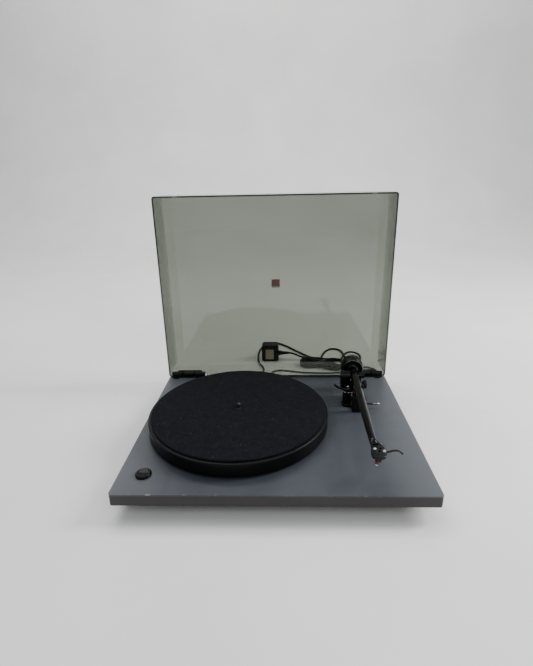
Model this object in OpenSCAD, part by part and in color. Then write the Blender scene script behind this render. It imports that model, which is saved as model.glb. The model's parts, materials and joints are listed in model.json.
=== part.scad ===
// Belt-drive record player with a hinged clear lid, a gimballed tonearm with a cueing
// lift, and its power and phono leads.
// Lengths are in millimetres. The deck's own frame has its origin on the top face of the
// plinth, at the middle of the plinth, with +X right, +Y to the rear and +Z up; on_deck()
// moves it so that the origin is under the middle of the whole player, on the table.

/* [Plinth] */
// Width of the plinth
plinth_w = 447; // [440:1:455]
// Depth of the plinth, front to rear
plinth_d = 360; // [356:1:364]
// Thickness of the plinth board
plinth_t = 18; // [17:0.5:20]
// Height of the rubber feet
foot_h = 25; // [24:0.5:28]

/* [Lid] */
// Depth of the lid, from rim to outer top face
lid_h = 71; // [71:0.5:74]
// Thickness of the lid's acrylic sheet
lid_wall = 3; // [2.5:0.1:3]
// Angle at which the lid stands open
lid_open = 91; // [88:0.5:93]

/* [Platter] */
// Diameter of the platter
platter_dia = 300; // [292:1:301]
// Diameter of the felt mat
mat_dia = 290; // [280:1:292]
// Thickness of the felt mat
mat_t = 3; // [2:0.5:3]
// Height of the spindle pin above the mat
spindle_h = 9; // [7:0.5:12]

/* [Tonearm] */
// Distance from the arm's pivot to the spindle
pivot_to_spindle = 222; // [221:0.5:223]
// Distance by which the stylus passes the spindle
overhang = 15; // [14:0.5:16]
// Offset angle of the cartridge to the arm tube
cart_angle = 23; // [21:0.5:24]
// Height of the arm's tilt axis above the plinth
arm_z = 47; // [47:0.1:47.3]
// Diameter of the counterweight
weight_dia = 42; // [38:1:42]

/* [Hidden] */
$fn = 64;

// heights above the plinth's top face
floor_z = -plinth_t - foot_h;
plinth_under = -plinth_t;
platter_z0 = 3.5;
platter_z1 = 25;
web_z0 = 20;
mat_z1 = platter_z1 + mat_t;
stylus_z = mat_z1 + 0.8;

// hinge axis of the lid, the lid's rim height when shut, and where the deck stands
hinge_y = plinth_d / 2 - 5;
hinge_z = 8;
rim_z = 3;
hinge_x = 183;
lid_rear_off = 5;
lid_top_off = rim_z + lid_h - hinge_z;
lid_reach = plinth_d - lid_rear_off;
lid_rear = hinge_y + lid_top_off * sin(lid_open) - lid_reach * cos(lid_open);
deck_y = -(lid_rear - plinth_d / 2) / 2;
deck_z = -floor_z;

// spindle, motor and arm pivot
spindle_x = -62;
spindle_y = 1.5;
sub_r = 48;
belt_t = 0.9;
belt_gap = 0.15;
motor_rpm = 375;
pulley_r = (sub_r + belt_t / 2) * 33.333 / motor_rpm - belt_t / 2;
pulley_fast_r = (sub_r + belt_t / 2) * 45 / motor_rpm - belt_t / 2;
motor_dist = 105;
motor_dir = 135;
motor_x = spindle_x + motor_dist * cos(motor_dir);
motor_y = spindle_y + motor_dist * sin(motor_dir);
arm_x = 144.5;
arm_y = spindle_y + sqrt(pow(pivot_to_spindle, 2) - pow(arm_x - spindle_x, 2));
park = 1.8;
stylus_u = pivot_to_spindle + overhang;
stylus_v = 2;
lift_x = 130.5;
lift_y = 60;
lift_top = arm_z - 10.2;
cam_y = lift_y + 3.6;
cam_z = 9;
cam_len = 4;
cam_r = 1.3;
cam_rest = 36;
switch_x = -186.5;
switch_y = -138.4;
jack_x = -40;
jack_z = -28.5;
clamp_x = 150;
bias_x = 160;
bias_y = arm_y - 6;
bias_z = 32;

// routes of the leads on the table, in the deck's frame: chosen points, rounded
power_d = 4.8;
phono_w = 5.6;
phono_t = 2.8;
boot_z = 17.2;
pz = floor_z + power_d / 2 + 0.1;
fz = floor_z + phono_t / 2 + 0.1;
coil_x = 180;
coil_y = 219;
coil_r = 30;
power_in = [[jack_x, 214, jack_z], [jack_x, 228, jack_z - 2], [-39, 246, pz + 3],
    [-35, 266, pz], [-31, 288, pz], [-33, 308, pz], [-42, 328, pz], [-47, 350, pz],
    [-48, 378, pz], [-46, 410, pz], [-38, 442, pz], [-20, 462, pz], [0, 463, pz],
    [20, 447, pz], [40, 421, pz], [60, 395, pz], [80, 367, pz + 1.5], [97, 344, pz + 5]];
power_loop = [[88, 338, pz], [98, 343, pz], [106, 352, pz], [111, 365, pz], [116, 383, pz],
    [123, 401, pz], [133, 416, pz], [147, 422, pz], [160, 415, pz], [167, 399, pz],
    [168, 379, pz], [172, 360, pz], [183, 347, pz], [198, 348, pz], [208, 361, pz],
    [207, 377, pz + 2], [196, 388, pz + 4], [182, 387, pz + 5], [171, 376, pz + 5.2],
    [164, 360, pz + 5], [157, 342, pz + 5]];
power_out = [[100, 333, floor_z + 15.5], [88, 340.5, floor_z + 12.6], [75, 347.5, floor_z + 9.5],
    [63, 354, floor_z + 8.4], [52, 359.4, floor_z + 10.6], [41, 362, floor_z + 15],
    [31, 362, floor_z + boot_z]];
phono_out = [[clamp_x, 184, -25], [clamp_x, 194, -27], [clamp_x, 206, fz + 6],
    [clamp_x, 219, fz]];
phono_on = [[180, 249, fz + 2.9], [198, 250, fz + 2.2], [216, 258, fz + 0.5], [228, 272, fz], [232, 287, fz],
    [226, 301, fz], [212, 309, fz], [196, 305, fz], [182, 293, fz], [166, 284, fz],
    [140, 279, fz], [112, 277, fz], [84, 278, fz], [56, 282, fz], [30, 289, fz],
    [8, 293, fz], [-8, 287, fz], [-12, 272, fz], [-4, 258, fz], [8, 250, fz]];
tail_d = 2.8;
tail_a = [[18, 246, fz], [30, 243, fz], [44, 244, fz], [58, 247, fz], [72, 247, pz + 2]];
tail_b = [[16, 243, fz], [25, 233, fz], [36, 226, fz], [50, 223, fz], [64, 224, pz + 2]];
hank_c = [106, 316];
hank_len = 105;
hank_w = 39;
hank_h = 19.6;
hank_turn = -14;
adaptor_x = -17;
adaptor_y = 362;

// colours, as rgb
black = [0.06, 0.06, 0.065];
grey_paint = [0.36, 0.37, 0.39];
steel = [0.72, 0.73, 0.74];
rubber = [0.09, 0.09, 0.09];

// ---------- shared shapes ----------
module on_deck() translate([0, deck_y, deck_z]) children();

module at_spindle() on_deck() translate([spindle_x, spindle_y, 0]) children();

module at_motor() on_deck() translate([motor_x, motor_y, 0]) children();

// the arm's frame: +X along the tube to the headshell, +Y outwards, arm parked
module in_arm(z = 0) on_deck() translate([arm_x, arm_y, z]) rotate([0, 0, -90 - park]) children();

// the cartridge's frame: origin over the stylus, +X forwards along the cartridge
module in_cart(z = 0)
    in_arm(z) translate([stylus_u, stylus_v, 0]) rotate([0, 0, -cart_angle]) children();

// the lid's frame, as if shut, with its origin on the hinge axis
module in_lid()
    on_deck() translate([0, hinge_y, hinge_z]) rotate([-lid_open, 0, 0]) children();

module disc(r, z0, z1) translate([0, 0, z0]) cylinder(r = r, h = z1 - z0);

module ring(ro, ri, z0, z1)
    difference() {
        disc(ro, z0, z1);
        disc(ri, z0 - 1, z1 + 1);
    }

module block(p0, p1) translate(p0) cube([p1[0] - p0[0], p1[1] - p0[1], p1[2] - p0[2]]);

// a bar with a round section along X
module rod_x(r, x0, x1) translate([x0, 0, 0]) rotate([0, 90, 0]) cylinder(r = r, h = x1 - x0);

// a bar with a round section along Y
module rod_y(r, y0, y1) translate([0, y1, 0]) rotate([90, 0, 0]) cylinder(r = r, h = y1 - y0);

// a flat outline with round corners, centred
module round_rect(w, d, r) {
    square([w - 2 * r, d], center = true);
    square([w, d - 2 * r], center = true);
    for (sx = [-1, 1], sy = [-1, 1])
        translate([sx * (w / 2 - r), sy * (d / 2 - r)]) circle(r = r);
}

module round_plate(w, d, r, z0, z1)
    translate([0, 0, z0]) linear_extrude(z1 - z0) round_rect(w, d, r);

// a pan-head screw pointing up, its head's seat at z = 0
module screw_up(r, head_r, len) {
    cylinder(r = r, h = len);
    translate([0, 0, -1.6]) cylinder(r1 = head_r * 0.8, r2 = head_r, h = 1.6, $fn = 32);
}

// smooth curve through a list of points: p holds the points, steps the divisions each
function catmull(a, b, c, d, t) =
    0.5 * (2 * b + (c - a) * t + (2 * a - 5 * b + 4 * c - d) * t * t
        + (3 * b - a - 3 * c + d) * t * t * t);
function curve(p, steps) = let (n = len(p) - 1) [
    for (i = [0:n - 1], k = [0:steps - 1])
        let (a = i > 0 ? p[i - 1] : 2 * p[0] - p[1],
            d = i < n - 1 ? p[i + 2] : 2 * p[n] - p[n - 1])
            catmull(a, p[i], p[i + 1], d, k / steps),
    p[n]];
function unit(v) = v / norm(v);

// a tube of half-width a and half-height b swept along points p, closed at both ends
module sweep(p, a, b, sides = 8) {
    n = len(p);
    dirs = [for (i = [0:n - 1]) unit(p[min(i + 1, n - 1)] - p[max(i - 1, 0)])];
    rings = [for (i = [0:n - 1])
        let (side = unit(cross(dirs[i], [0, 0, 1])), up = cross(side, dirs[i]))
            for (k = [0:sides - 1])
                p[i] + a * cos(360 * (k + 0.5) / sides) * side
                    + b * sin(360 * (k + 0.5) / sides) * up];
    walls = [for (i = [0:n - 2], k = [0:sides - 1])
        let (m = (k + 1) % sides)
            [i * sides + k, (i + 1) * sides + k, (i + 1) * sides + m, i * sides + m]];
    ends = [[for (k = [0:sides - 1]) k],
        [for (k = [0:sides - 1]) n * sides - 1 - k]];
    polyhedron(points = rings, faces = concat(walls, ends), convexity = 6);
}

// ---------- plinth, feet and what hangs under it ----------
module plinth_board() color(grey_paint)
    on_deck() difference() {
        round_plate(plinth_w, plinth_d, 4, plinth_under, 0);
        translate([spindle_x, spindle_y, 0]) disc(9.2, plinth_under - 1, 1);
        translate([motor_x, motor_y, 0]) disc(8, plinth_under - 1, 1);
        translate([arm_x, arm_y, 0]) disc(11.2, plinth_under - 1, 1);
        translate([switch_x, switch_y, 0]) disc(8.2, plinth_under - 1, 1);
    }

module foot() {
    difference() {
        rotate_extrude() polygon([[0, 0], [15, 0], [17, 2], [19, foot_h], [0, foot_h]]);
        disc(5, -1, 4);
        disc(2.2, 3, foot_h + 1);
    }
}

foot_spots = [[-150, -130], [150, -130], [20, 146]];
module foot_at(spot) color(rubber) on_deck() translate([spot[0], spot[1], floor_z]) foot();
module foot_front_left() foot_at(foot_spots[0]);
module foot_front_right() foot_at(foot_spots[1]);
module foot_rear() foot_at(foot_spots[2]);

module foot_screws() color(steel)
    on_deck() for (s = foot_spots) translate([s[0], s[1], floor_z + 4]) {
        cylinder(r = 2.1, h = foot_h - 4);
        translate([0, 0, -1.8]) cylinder(r = 4, h = 1.8);
    }

module main_bearing() color([0.75, 0.62, 0.33])
    at_spindle() difference() {
        union() {
            disc(9, plinth_under - 16, 0);
            disc(17, 0, 2.5);
        }
        disc(3.05, plinth_under - 13, 3);
    }

module hex_nut(r, hole_r, z0, z1)
    difference() {
        translate([0, 0, z0]) cylinder(r = r, h = z1 - z0, $fn = 6);
        disc(hole_r, z0 - 1, z1 + 1);
    }

module lock_nuts() color(steel) {
    at_spindle() hex_nut(16, 9, plinth_under - 5, plinth_under);
    on_deck() translate([arm_x, arm_y, 0]) hex_nut(17, 11, plinth_under - 6, plinth_under);
}

module bearing_ball() color(steel)
    at_spindle() translate([0, 0, plinth_under - 10.5]) sphere(r = 2.5);

// ---------- drive ----------
motor_z1 = plinth_under - 2;
module motor_body() color([0.6, 0.6, 0.58])
    at_motor() difference() {
        union() {
            disc(25, motor_z1 - 15, motor_z1);
            disc(5.5, motor_z1, motor_z1 + 8);
        }
        disc(1.65, motor_z1 - 12, motor_z1 + 9);
    }

bracket_hole = 29;
module motor_bracket() color(steel)
    at_motor() difference() {
        round_plate(68, 36, 6, motor_z1, plinth_under);
        disc(5.6, motor_z1 - 1, plinth_under + 1);
        for (s = [-1, 1]) translate([s * bracket_hole, 0, 0])
            disc(1.8, motor_z1 - 1, plinth_under + 1);
    }

module motor_shaft() color(steel) at_motor() disc(1.6, motor_z1 - 11.9, 16);

module drive_pulley() color([0.78, 0.66, 0.36])
    at_motor() difference() {
        union() {
            disc(7, 4, 5.5);
            disc(pulley_r, 5.5, 10.5);
            disc(7, 10.5, 11.5);
            disc(pulley_fast_r, 11.5, 14.7);
            disc(7, 14.7, 15.7);
        }
        disc(1.6, 3, 17);
    }

// the outline round two discs, a gap outside them
module belt_outline(gap) {
    r0 = sub_r + gap;
    r1 = pulley_r + gap;
    lean = acos((r0 - r1) / motor_dist);
    rotate(motor_dir) {
        circle(r = r0, $fn = 128);
        translate([motor_dist, 0]) circle(r = r1);
        polygon([r0 * [cos(lean), -sin(lean)], [motor_dist, 0] + r1 * [cos(lean), -sin(lean)],
            [motor_dist, 0] + r1 * [cos(lean), sin(lean)], r0 * [cos(lean), sin(lean)]]);
    }
}

module drive_belt() color(black)
    at_spindle() translate([0, 0, 6]) linear_extrude(4) difference() {
        belt_outline(belt_gap + belt_t);
        belt_outline(belt_gap);
    }

module sub_platter() color([0.16, 0.16, 0.17])
    at_spindle() difference() {
        union() {
            disc(13, 4, web_z0);
            ring(sub_r, sub_r - 5, 5, 16);
            disc(sub_r, 12, 16);
            ring(42, 34, 16, web_z0);
        }
        disc(5, 3, web_z0 + 1);
        for (i = [0:5]) rotate(i * 60) translate([24, 0, 0]) disc(6, 3, 17);
    }

pin_r = 3.6;
seat_r = 4.2;
module spindle_shaft() color(steel)
    at_spindle() {
        disc(3, plinth_under - 7.95, 4);
        disc(5, 4, web_z0);
        disc(seat_r, web_z0, mat_z1);
        disc(pin_r, mat_z1, mat_z1 + spindle_h - 2);
        translate([0, 0, mat_z1 + spindle_h - 2]) cylinder(r1 = pin_r, r2 = 2, h = 2, $fn = 48);
    }

platter_r = platter_dia / 2;
module platter() color([0.05, 0.05, 0.055])
    at_spindle() rotate_extrude($fn = 180) polygon([[seat_r + 0.1, web_z0], [platter_r - 12, web_z0],
        [platter_r - 12, platter_z0], [platter_r - 0.8, platter_z0],
        [platter_r, platter_z0 + 0.8], [platter_r, platter_z1 - 1.2],
        [platter_r - 1.2, platter_z1], [seat_r + 0.1, platter_z1]]);

module felt_mat() color([0.1, 0.11, 0.13])
    at_spindle() difference() {
        translate([0, 0, platter_z1]) cylinder(r = mat_dia / 2, h = mat_t, $fn = 180);
        disc(seat_r + 0.2, platter_z1 - 1, mat_z1 + 1);
    }

// ---------- electronics ----------
cover_x = -98;
cover_y = 110;
cover_w = 156;
cover_d = 132;
cover_z0 = plinth_under - 22;
module motor_cover() color([0.1, 0.1, 0.11])
    on_deck() translate([cover_x, cover_y, 0]) difference() {
        union() {
            difference() {
                round_plate(cover_w, cover_d, 8, cover_z0, plinth_under);
                round_plate(cover_w - 4, cover_d - 4, 6, cover_z0 + 2, plinth_under + 1);
            }
            for (s = cover_bosses) translate(s) disc(4.5, cover_z0 + 1, plinth_under);
        }
        for (s = cover_bosses) translate(s) disc(1.8, cover_z0 - 1, plinth_under + 1);
        block([jack_x - cover_x - 6, cover_d / 2 - 3, jack_z - 6],
            [jack_x - cover_x + 6, cover_d / 2 + 1, jack_z + 6.5]);
        block([-58, -cover_d / 2 - 1, plinth_under - 6], [-52, -cover_d / 2 + 3, plinth_under + 1]);
        for (i = [0:6]) block([-12 + i * 6, -10, cover_z0 - 1], [-9 + i * 6, 30, cover_z0 + 3]);
    }
cover_bosses = [for (sx = [-1, 1], sy = [-1, 1]) [sx * (cover_w / 2 - 7), sy * (cover_d / 2 - 7)]];

// the screws that hold the cover and the motor's bracket
module underside_screws() color(steel) {
    on_deck() for (s = cover_bosses)
        translate([cover_x + s[0], cover_y + s[1], cover_z0]) screw_up(1.7, 3.4, 21);
    at_motor() for (s = [-1, 1])
        translate([s * bracket_hole, 0, motor_z1]) screw_up(1.7, 3.2, 1.9);
}

// the populated speed-control board on its stand-offs
board_z1 = plinth_under - 1.5;
module circuit_board() color([0.1, 0.3, 0.16])
    on_deck() translate([0, 0, board_z1 - 1.6]) {
        block([-74, 108, 0], [-22, 162, 1.6]);
        for (x = [-70, -26], y = [112, 158]) translate([x, y, 0]) disc(3, 1, 3.1);
        for (y = [116, 130]) translate([-64, y, 0]) disc(5, -10, 0.5);
        translate([-44, 122, 0]) disc(9, -8, 0.5);
        block([-34, 114, -4], [-26, 134, 0.5]);
        block([-68, 144, -3], [-54, 152, 0.5]);
    }

module dc_jack() color(black)
    on_deck() translate([jack_x, 0, 0]) difference() {
        union() {
            block([-4.8, 160, jack_z - 5.2], [4.8, 176, jack_z + 5.5]);
            block([-3, 150, jack_z + 3], [3, 160, board_z1 - 1.6]);
        }
        translate([0, 0, jack_z]) rod_y(2.75, 164, 177);
    }

module switch_body() color(black)
    on_deck() translate([switch_x, switch_y, 0]) {
        disc(8, plinth_under - 8, -5.5);
        for (s = [-1, 1]) block([s * 3 - 0.4, -2.4, plinth_under - 13],
            [s * 3 + 0.4, 2.4, plinth_under - 8]);
    }

// a ribbed collar that carries the rocker
module switch_bezel() color(black)
    on_deck() translate([switch_x, switch_y, 0]) difference() {
        union() {
            disc(11, 0, 3.2);
            translate([0, 0, 3.2]) cylinder(r1 = 11, r2 = 9.8, h = 0.9);
            for (i = [0:23]) rotate(i * 15) translate([10.6, -0.7, 0]) cube([0.9, 1.4, 3]);
        }
        disc(8, -1, 1);
        disc(7.9, 0.9, 6);
        translate([0, 0, 2]) rod_x(1.02, -8.6, 8.6);
    }

module rocker_button() color([0.05, 0.05, 0.05])
    on_deck() translate([switch_x, switch_y, 2]) {
        rod_x(0.95, -8.3, 8.3);
        intersection() {
            disc(7.3, -6, 5);
            translate([-9, 0, 0]) rotate([90, 0, 90])
                linear_extrude(18) polygon([[-7, -1], [-3, -3], [3, -3], [7, -3.2],
                    [7.2, 3.4], [0, 1.6], [-7, 1.2]]);
        }
    }

module switch_cable() color(black)
    on_deck() sweep(curve([[switch_x, switch_y + 1, plinth_under - 15.4],
        [switch_x, switch_y + 13, plinth_under - 12], [-184, -95, plinth_under - 3],
        [-174, -30, plinth_under - 3], [-157, 15, plinth_under - 3],
        [-153, 46, plinth_under - 3]], 3), 1.9, 1.9);

module signal_cable() color(black)
    on_deck() sweep(curve([[arm_x, arm_y, plinth_under - 11.2], [arm_x + 1, arm_y + 18,
        plinth_under - 11.2], [clamp_x, 142, plinth_under - 7], [clamp_x, 165, plinth_under - 7]],
        3), 1.9, 1.9);

module cable_clamp() color(black)
    on_deck() difference() {
        union() {
            block([clamp_x - 9, 165, plinth_under - 12], [clamp_x + 9, 178, plinth_under]);
            translate([clamp_x, 0, plinth_under - 7]) rod_y(4.4, 178, 184);
        }
        for (s = [-1, 1]) translate([clamp_x + s * 6, 171, 0])
            disc(1.4, plinth_under - 13, plinth_under - 3);
    }

// ---------- lid hinges, fixed halves ----------
knuckle_r = 4.2;
knuckle_w = 20;
knuckle_pitch = 24.5;
hinge_screw_off = 7;
hinge_base_t = 2.5;
module hinge_base(x) color(black)
    on_deck() translate([x, hinge_y, 0]) difference() {
        union() {
            for (s = [-1, 1]) translate([s * knuckle_pitch - knuckle_w / 2, 0, 0]) {
                translate([0, 0, hinge_z]) rod_x(knuckle_r, 0, knuckle_w);
                block([0, -knuckle_r, 0], [knuckle_w, 4.5, hinge_z]);
            }
            half = knuckle_pitch + knuckle_w / 2;
            block([-half, -knuckle_r, 0], [half, 4.5, hinge_base_t]);
            for (s = [-1, 1]) translate([s * knuckle_pitch, 0, 0])
                block([-4.5, -9.4, 0], [4.5, -knuckle_r + 1, hinge_base_t]);
        }
        translate([-50, 0, hinge_z]) rod_x(1.5, 0, 100);
        for (s = [-1, 1]) translate([s * knuckle_pitch, -hinge_screw_off, 0]) disc(0.9, -1, 5);
    }
module hinge_base_left() hinge_base(-hinge_x);
module hinge_base_right() hinge_base(hinge_x);

module hinge_pins() color(steel)
    on_deck() for (x = [-hinge_x, hinge_x])
        translate([x, hinge_y, hinge_z]) rod_x(1.5, -knuckle_pitch - 9, knuckle_pitch + 9);

module hinge_screws() color([0.2, 0.2, 0.2])
    on_deck() for (x = [-hinge_x, hinge_x], s = [-1, 1])
        translate([x + s * knuckle_pitch, hinge_y - hinge_screw_off, hinge_base_t]) {
            disc(1.8, 0, 0.9);
            disc(0.8, -hinge_base_t, 0.5);
        }

// ---------- lid ----------
notch_half = 36.5;
notch_top = 9;
module lid_shell() color([0.55, 0.56, 0.52, 0.45])
    in_lid() translate([0, lid_rear_off - plinth_d / 2, rim_z - hinge_z]) difference() {
        round_plate(plinth_w, plinth_d, 5, 0, lid_h);
        round_plate(plinth_w - 2 * lid_wall, plinth_d - 2 * lid_wall, 3, -1, lid_h - lid_wall);
        for (x = [-hinge_x, hinge_x]) block([x - notch_half, plinth_d / 2 - lid_wall - 1, -1],
            [x + notch_half, plinth_d / 2 + 1, notch_top - rim_z + hinge_z]);
    }

// the half of a hinge that grips the lid's rear wall
module lid_hinge(x) color(black)
    in_lid() translate([x, 0, 0]) difference() {
        union() {
            rod_x(knuckle_r, -knuckle_w / 2, knuckle_w / 2);
            block([-knuckle_w / 2, 0, 0], [knuckle_w / 2, knuckle_r, 7]);
            block([-25, -0.5, 6.5], [25, lid_rear_off + 2.5, 24]);
        }
        rod_x(1.55, -20, 20);
        block([-30, lid_rear_off - lid_wall, notch_top], [30, lid_rear_off, 30]);
        block([-30, -2, 17], [30, lid_rear_off - lid_wall, 30]);
    }
module lid_hinge_left() lid_hinge(-hinge_x);
module lid_hinge_right() lid_hinge(hinge_x);

// the plain square badge on the lid's outer face
module lid_badge() color([0.25, 0.08, 0.08])
    in_lid() translate([0, lid_rear_off - plinth_d / 2, lid_top_off])
        round_plate(17.5, 17.5, 1, 0, 0.8);

// the two pads under the front of the lid's rim
module lid_bumpers() color([0.7, 0.71, 0.69])
    in_lid() for (s = [-1, 1]) translate([s * 180, -lid_reach, rim_z - hinge_z])
        block([-4, 0, -2.7], [4, lid_wall, 0]);

// ---------- tonearm base ----------
rest_z = arm_z - 7.6;
module arm_base() color(black)
    difference() {
        union() {
            on_deck() linear_extrude(5) {
                translate([arm_x, arm_y]) circle(r = 17);
                translate([lift_x, lift_y]) circle(r = 11);
                polygon([[lift_x - 10, lift_y], [lift_x + 4, lift_y - 10], [138, 41], [138.5, 33],
                    [152, 33], [167, bias_y - 8], [167, arm_y + 5], [arm_x - 14, arm_y + 9]]);
            }
            in_arm() block([43.5, -8, 0], [52, 8, 30]);
            in_arm() block([44.5, -5.5, 30], [51, 9.8, rest_z - 1.2]);
            in_arm() block([44.5, 7.7, rest_z - 2], [51, 9.8, arm_z + 5]);
        }
        on_deck() translate([arm_x, arm_y, 0]) disc(11.2, -1, 6);
    }

module rest_pad() color([0.4, 0.07, 0.07])
    in_arm() block([45, -6.5, rest_z - 1.2], [50.5, 6.8, rest_z]);

module arm_pillar() color(black)
    on_deck() translate([arm_x, arm_y, 0]) difference() {
        union() {
            disc(11, plinth_under - 9, 5);
            disc(13, 5, 24);
        }
        disc(8, plinth_under - 10, 25);
    }

module arm_bearings() color(steel)
    on_deck() translate([arm_x, arm_y, 0]) {
        ring(8, 3.05, 18, 23);
        ring(8, 3.05, plinth_under - 4, plinth_under + 1);
    }

module lift_housing() color([0.08, 0.08, 0.085])
    on_deck() difference() {
        translate([lift_x, lift_y, 0]) {
            disc(9, 5, 27.5);
            disc(8.2, 27.5, 28.5);
            disc(6.5, 28.5, 30);
        }
        translate([lift_x, lift_y, 0]) disc(2.55, 12, 31);
        block([lift_x - 4.5, 55, 5], [lift_x + 4.5, 67, 14]);
        translate([0, cam_y, cam_z]) rod_x(1.55, lift_x - 7, lift_x + 12);
    }

module bias_post() color(black)
    on_deck() difference() {
        block([bias_x - 1.5, bias_y - 4.5, 5], [bias_x + 1.5, bias_y + 4.5, bias_z + 4]);
        translate([0, bias_y, bias_z]) rod_x(1.55, bias_x - 4, bias_x + 4);
    }

module bias_dial() color([0.08, 0.08, 0.08])
    on_deck() translate([bias_x, bias_y, bias_z]) {
        rod_x(1.5, -1.4, 2);
        rod_x(7, 1.9, 6);
        for (i = [0:15]) rotate([i * 22.5, 0, 0]) block([1.9, -0.6, 6.6], [6, 0.6, 7.5]);
    }

// ---------- lift ----------
web_r = 40;
module lift_platform() color([0.07, 0.07, 0.075])
    on_deck() {
        translate([lift_x, lift_y, 0]) {
            disc(1, cam_z - cam_len * sin(cam_rest) + cam_r + 0.3, 14);
            disc(2.5, 13.6, 36.4);
        }
        toward = atan2(lift_y - arm_y, lift_x - arm_x);
        translate([arm_x, arm_y, 0]) {
            rotate(toward) block([24, -3, 34], [web_r - 1, 3, lift_top - 0.4]);
            rotate([0, 0, 201]) rotate_extrude(angle = 72, $fn = 96)
                translate([web_r - 2, 34]) square([3, lift_top - 34]);
            for (a = [201, 273]) rotate(a) translate([web_r - 0.5, 0, 34])
                cylinder(r = 1.5, h = lift_top - 34, $fn = 24);
        }
    }

module cue_lever() color(steel)
    on_deck() translate([0, cam_y, cam_z]) {
        rod_x(1.5, lift_x - 6.5, 157);
        rotate([cam_rest, 0, 0]) {
            block([lift_x - 3, -cam_len, -0.6], [lift_x + 3, 0, 0.6]);
            translate([0, -cam_len, 0]) rod_x(cam_r, lift_x - 3, lift_x + 3);
        }
        translate([157, 0, 0]) sphere(r = 1.5, $fn = 32);
        translate([157, 0, 0]) rod_y(1.5, -18, 0);
        translate([157, -18, 0]) sphere(r = 1.5, $fn = 32);
        translate([0, -18, 0]) rod_x(1.5, 157, 177);
        translate([0, -18, 0]) rod_x(2, 177, 183);
        translate([183, -18, 0]) sphere(r = 2, $fn = 32);
    }

// ---------- tonearm ----------
// the swivelling housing: a broad bearing cheek on the inner side and a slim one outside
module arm_yoke() color([0.07, 0.07, 0.075])
    in_arm() difference() {
        union() {
            disc(13, 24.5, 30);
            block([-9, -25, 25], [9, -8, arm_z]);
            translate([0, 0, arm_z]) rod_y(9, -25, -8);
            block([-5.5, 8, 28], [5.5, 12.4, arm_z]);
            translate([0, 0, arm_z]) rod_y(5.5, 8, 12.4);
            translate([0, 0, arm_z]) rod_y(4.8, 12, 17.8);
            disc(3, plinth_under - 3, 25);
        }
        translate([0, 0, arm_z]) rod_y(1.5, -18, 18);
    }

module pivot_screws() color(steel)
    in_arm() for (s = [-1, 1])
        translate([0, 0, arm_z]) rod_y(1.5, min(s * 4, s * 16), max(s * 4, s * 16));

tube_end = 204;
tube_r = 7.6;
tube_end_r = 5.3;
module arm_tube() color([0.09, 0.09, 0.095])
    in_arm(arm_z) difference() {
        union() {
            rod_x(tube_r, -14, 20);
            translate([20, 0, 0]) rotate([0, 90, 0])
                cylinder(r1 = tube_r, r2 = tube_end_r, h = tube_end - 20, $fn = 64);
            rod_x(4, -62, -14);
            translate([-14, 0, 0]) rod_x(5.4, -3, 0);
        }
        rod_y(1.55, -tube_r - 1, -3.8);
        rod_y(1.55, 3.8, tube_r + 1);
    }

// the headshell plate, its fairing onto the tube and the finger lift
shell_z0 = arm_z - 2;
shell_z1 = arm_z + 2;
screw_a = -6.3;
screw_b = 6.35;
function cart_to_arm(p) = [stylus_u + p[0] * cos(cart_angle) + p[1] * sin(cart_angle),
    stylus_v - p[0] * sin(cart_angle) + p[1] * cos(cart_angle)];
shell_outline = [[tube_end, -5.2], [222, -4.9], [232, -6.6], [240, -7.2], [245, -5.6],
    [248.3, -1], [248.3, 3], [246.4, 8.4], [241, 12], [233, 13.8], [226, 13.3], [217, 10.4],
    [tube_end, 5.1]];
shell_holes = [[-12, 0, 1.6], [-5.3, 0.4, 1.7], [2, 0.6, 1.7], [screw_a, -screw_b, 1.35],
    [screw_a, screw_b, 1.35]];
shell_slot = [217, 2.2];
finger_top = [[13, 0.9], [17, 1.6], [21, 3], [28, 3.6], [32, 2.6], [35, -0.6]];
finger_under = [[33, -1.6], [30.6, 0.4], [27.6, 1.2], [21, 0.8], [17, -0.8], [13, -1]];
module headshell() color([0.09, 0.09, 0.095])
    in_arm() {
        translate([0, 0, shell_z0]) linear_extrude(shell_z1 - shell_z0) difference() {
            polygon(shell_outline);
            for (h = shell_holes) translate(cart_to_arm(h)) circle(r = h[2]);
            translate(shell_slot) square([4, 5], center = true);
            for (s = [-1, 1]) translate(shell_slot + [0, s * 2.5]) circle(r = 2);
        }
        translate([229.5, 0, arm_z]) rotate([90, 0, 90]) linear_extrude(4.5)
            polygon(concat(finger_top, finger_under));
    }

module cartridge_screws() color([0.85, 0.85, 0.85])
    in_cart() for (s = [-1, 1]) translate([screw_a, s * screw_b, 0]) {
        disc(1.25, shell_z0 - 4, shell_z1);
        disc(2.4, shell_z1, shell_z1 + 1.5);
        translate([0, 0, shell_z0 - 4]) cylinder(r = 2.3, h = 2, $fn = 6);
    }

module cartridge_body() color([0.07, 0.07, 0.07])
    in_cart() difference() {
        union() {
            block([screw_a - 3.5, -9, shell_z0 - 2], [screw_a + 3.5, 9, shell_z0]);
            block([-24, -3.9, stylus_z + 4.5], [-2, 3.9, shell_z0 - 1]);
            for (b = [-3, -1, 1, 3]) translate([0, b, shell_z0 - 5]) rod_x(0.5, -28, -24);
        }
        for (s = [-1, 1]) translate([screw_a, s * screw_b, 0]) disc(1.3, shell_z0 - 3, shell_z0 + 1);
    }

module stylus_assembly() color([0.35, 0.05, 0.05])
    in_cart(stylus_z) {
        translate([0, 2.3, 0]) rotate([90, 0, 0]) linear_extrude(4.6)
            polygon([[-2, 12], [-2, 2.6], [1.5, 2.2], [6.5, 4.6], [7, 8.6], [3.4, 12.4]]);
        translate([0.6, 0, 0]) rotate([0, 22, 0]) translate([0, 0, -0.1]) cylinder(r = 0.35, h = 3, $fn = 16);
        translate([0.6, 0, -0.1]) sphere(r = 0.6, $fn = 16);
    }

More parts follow.
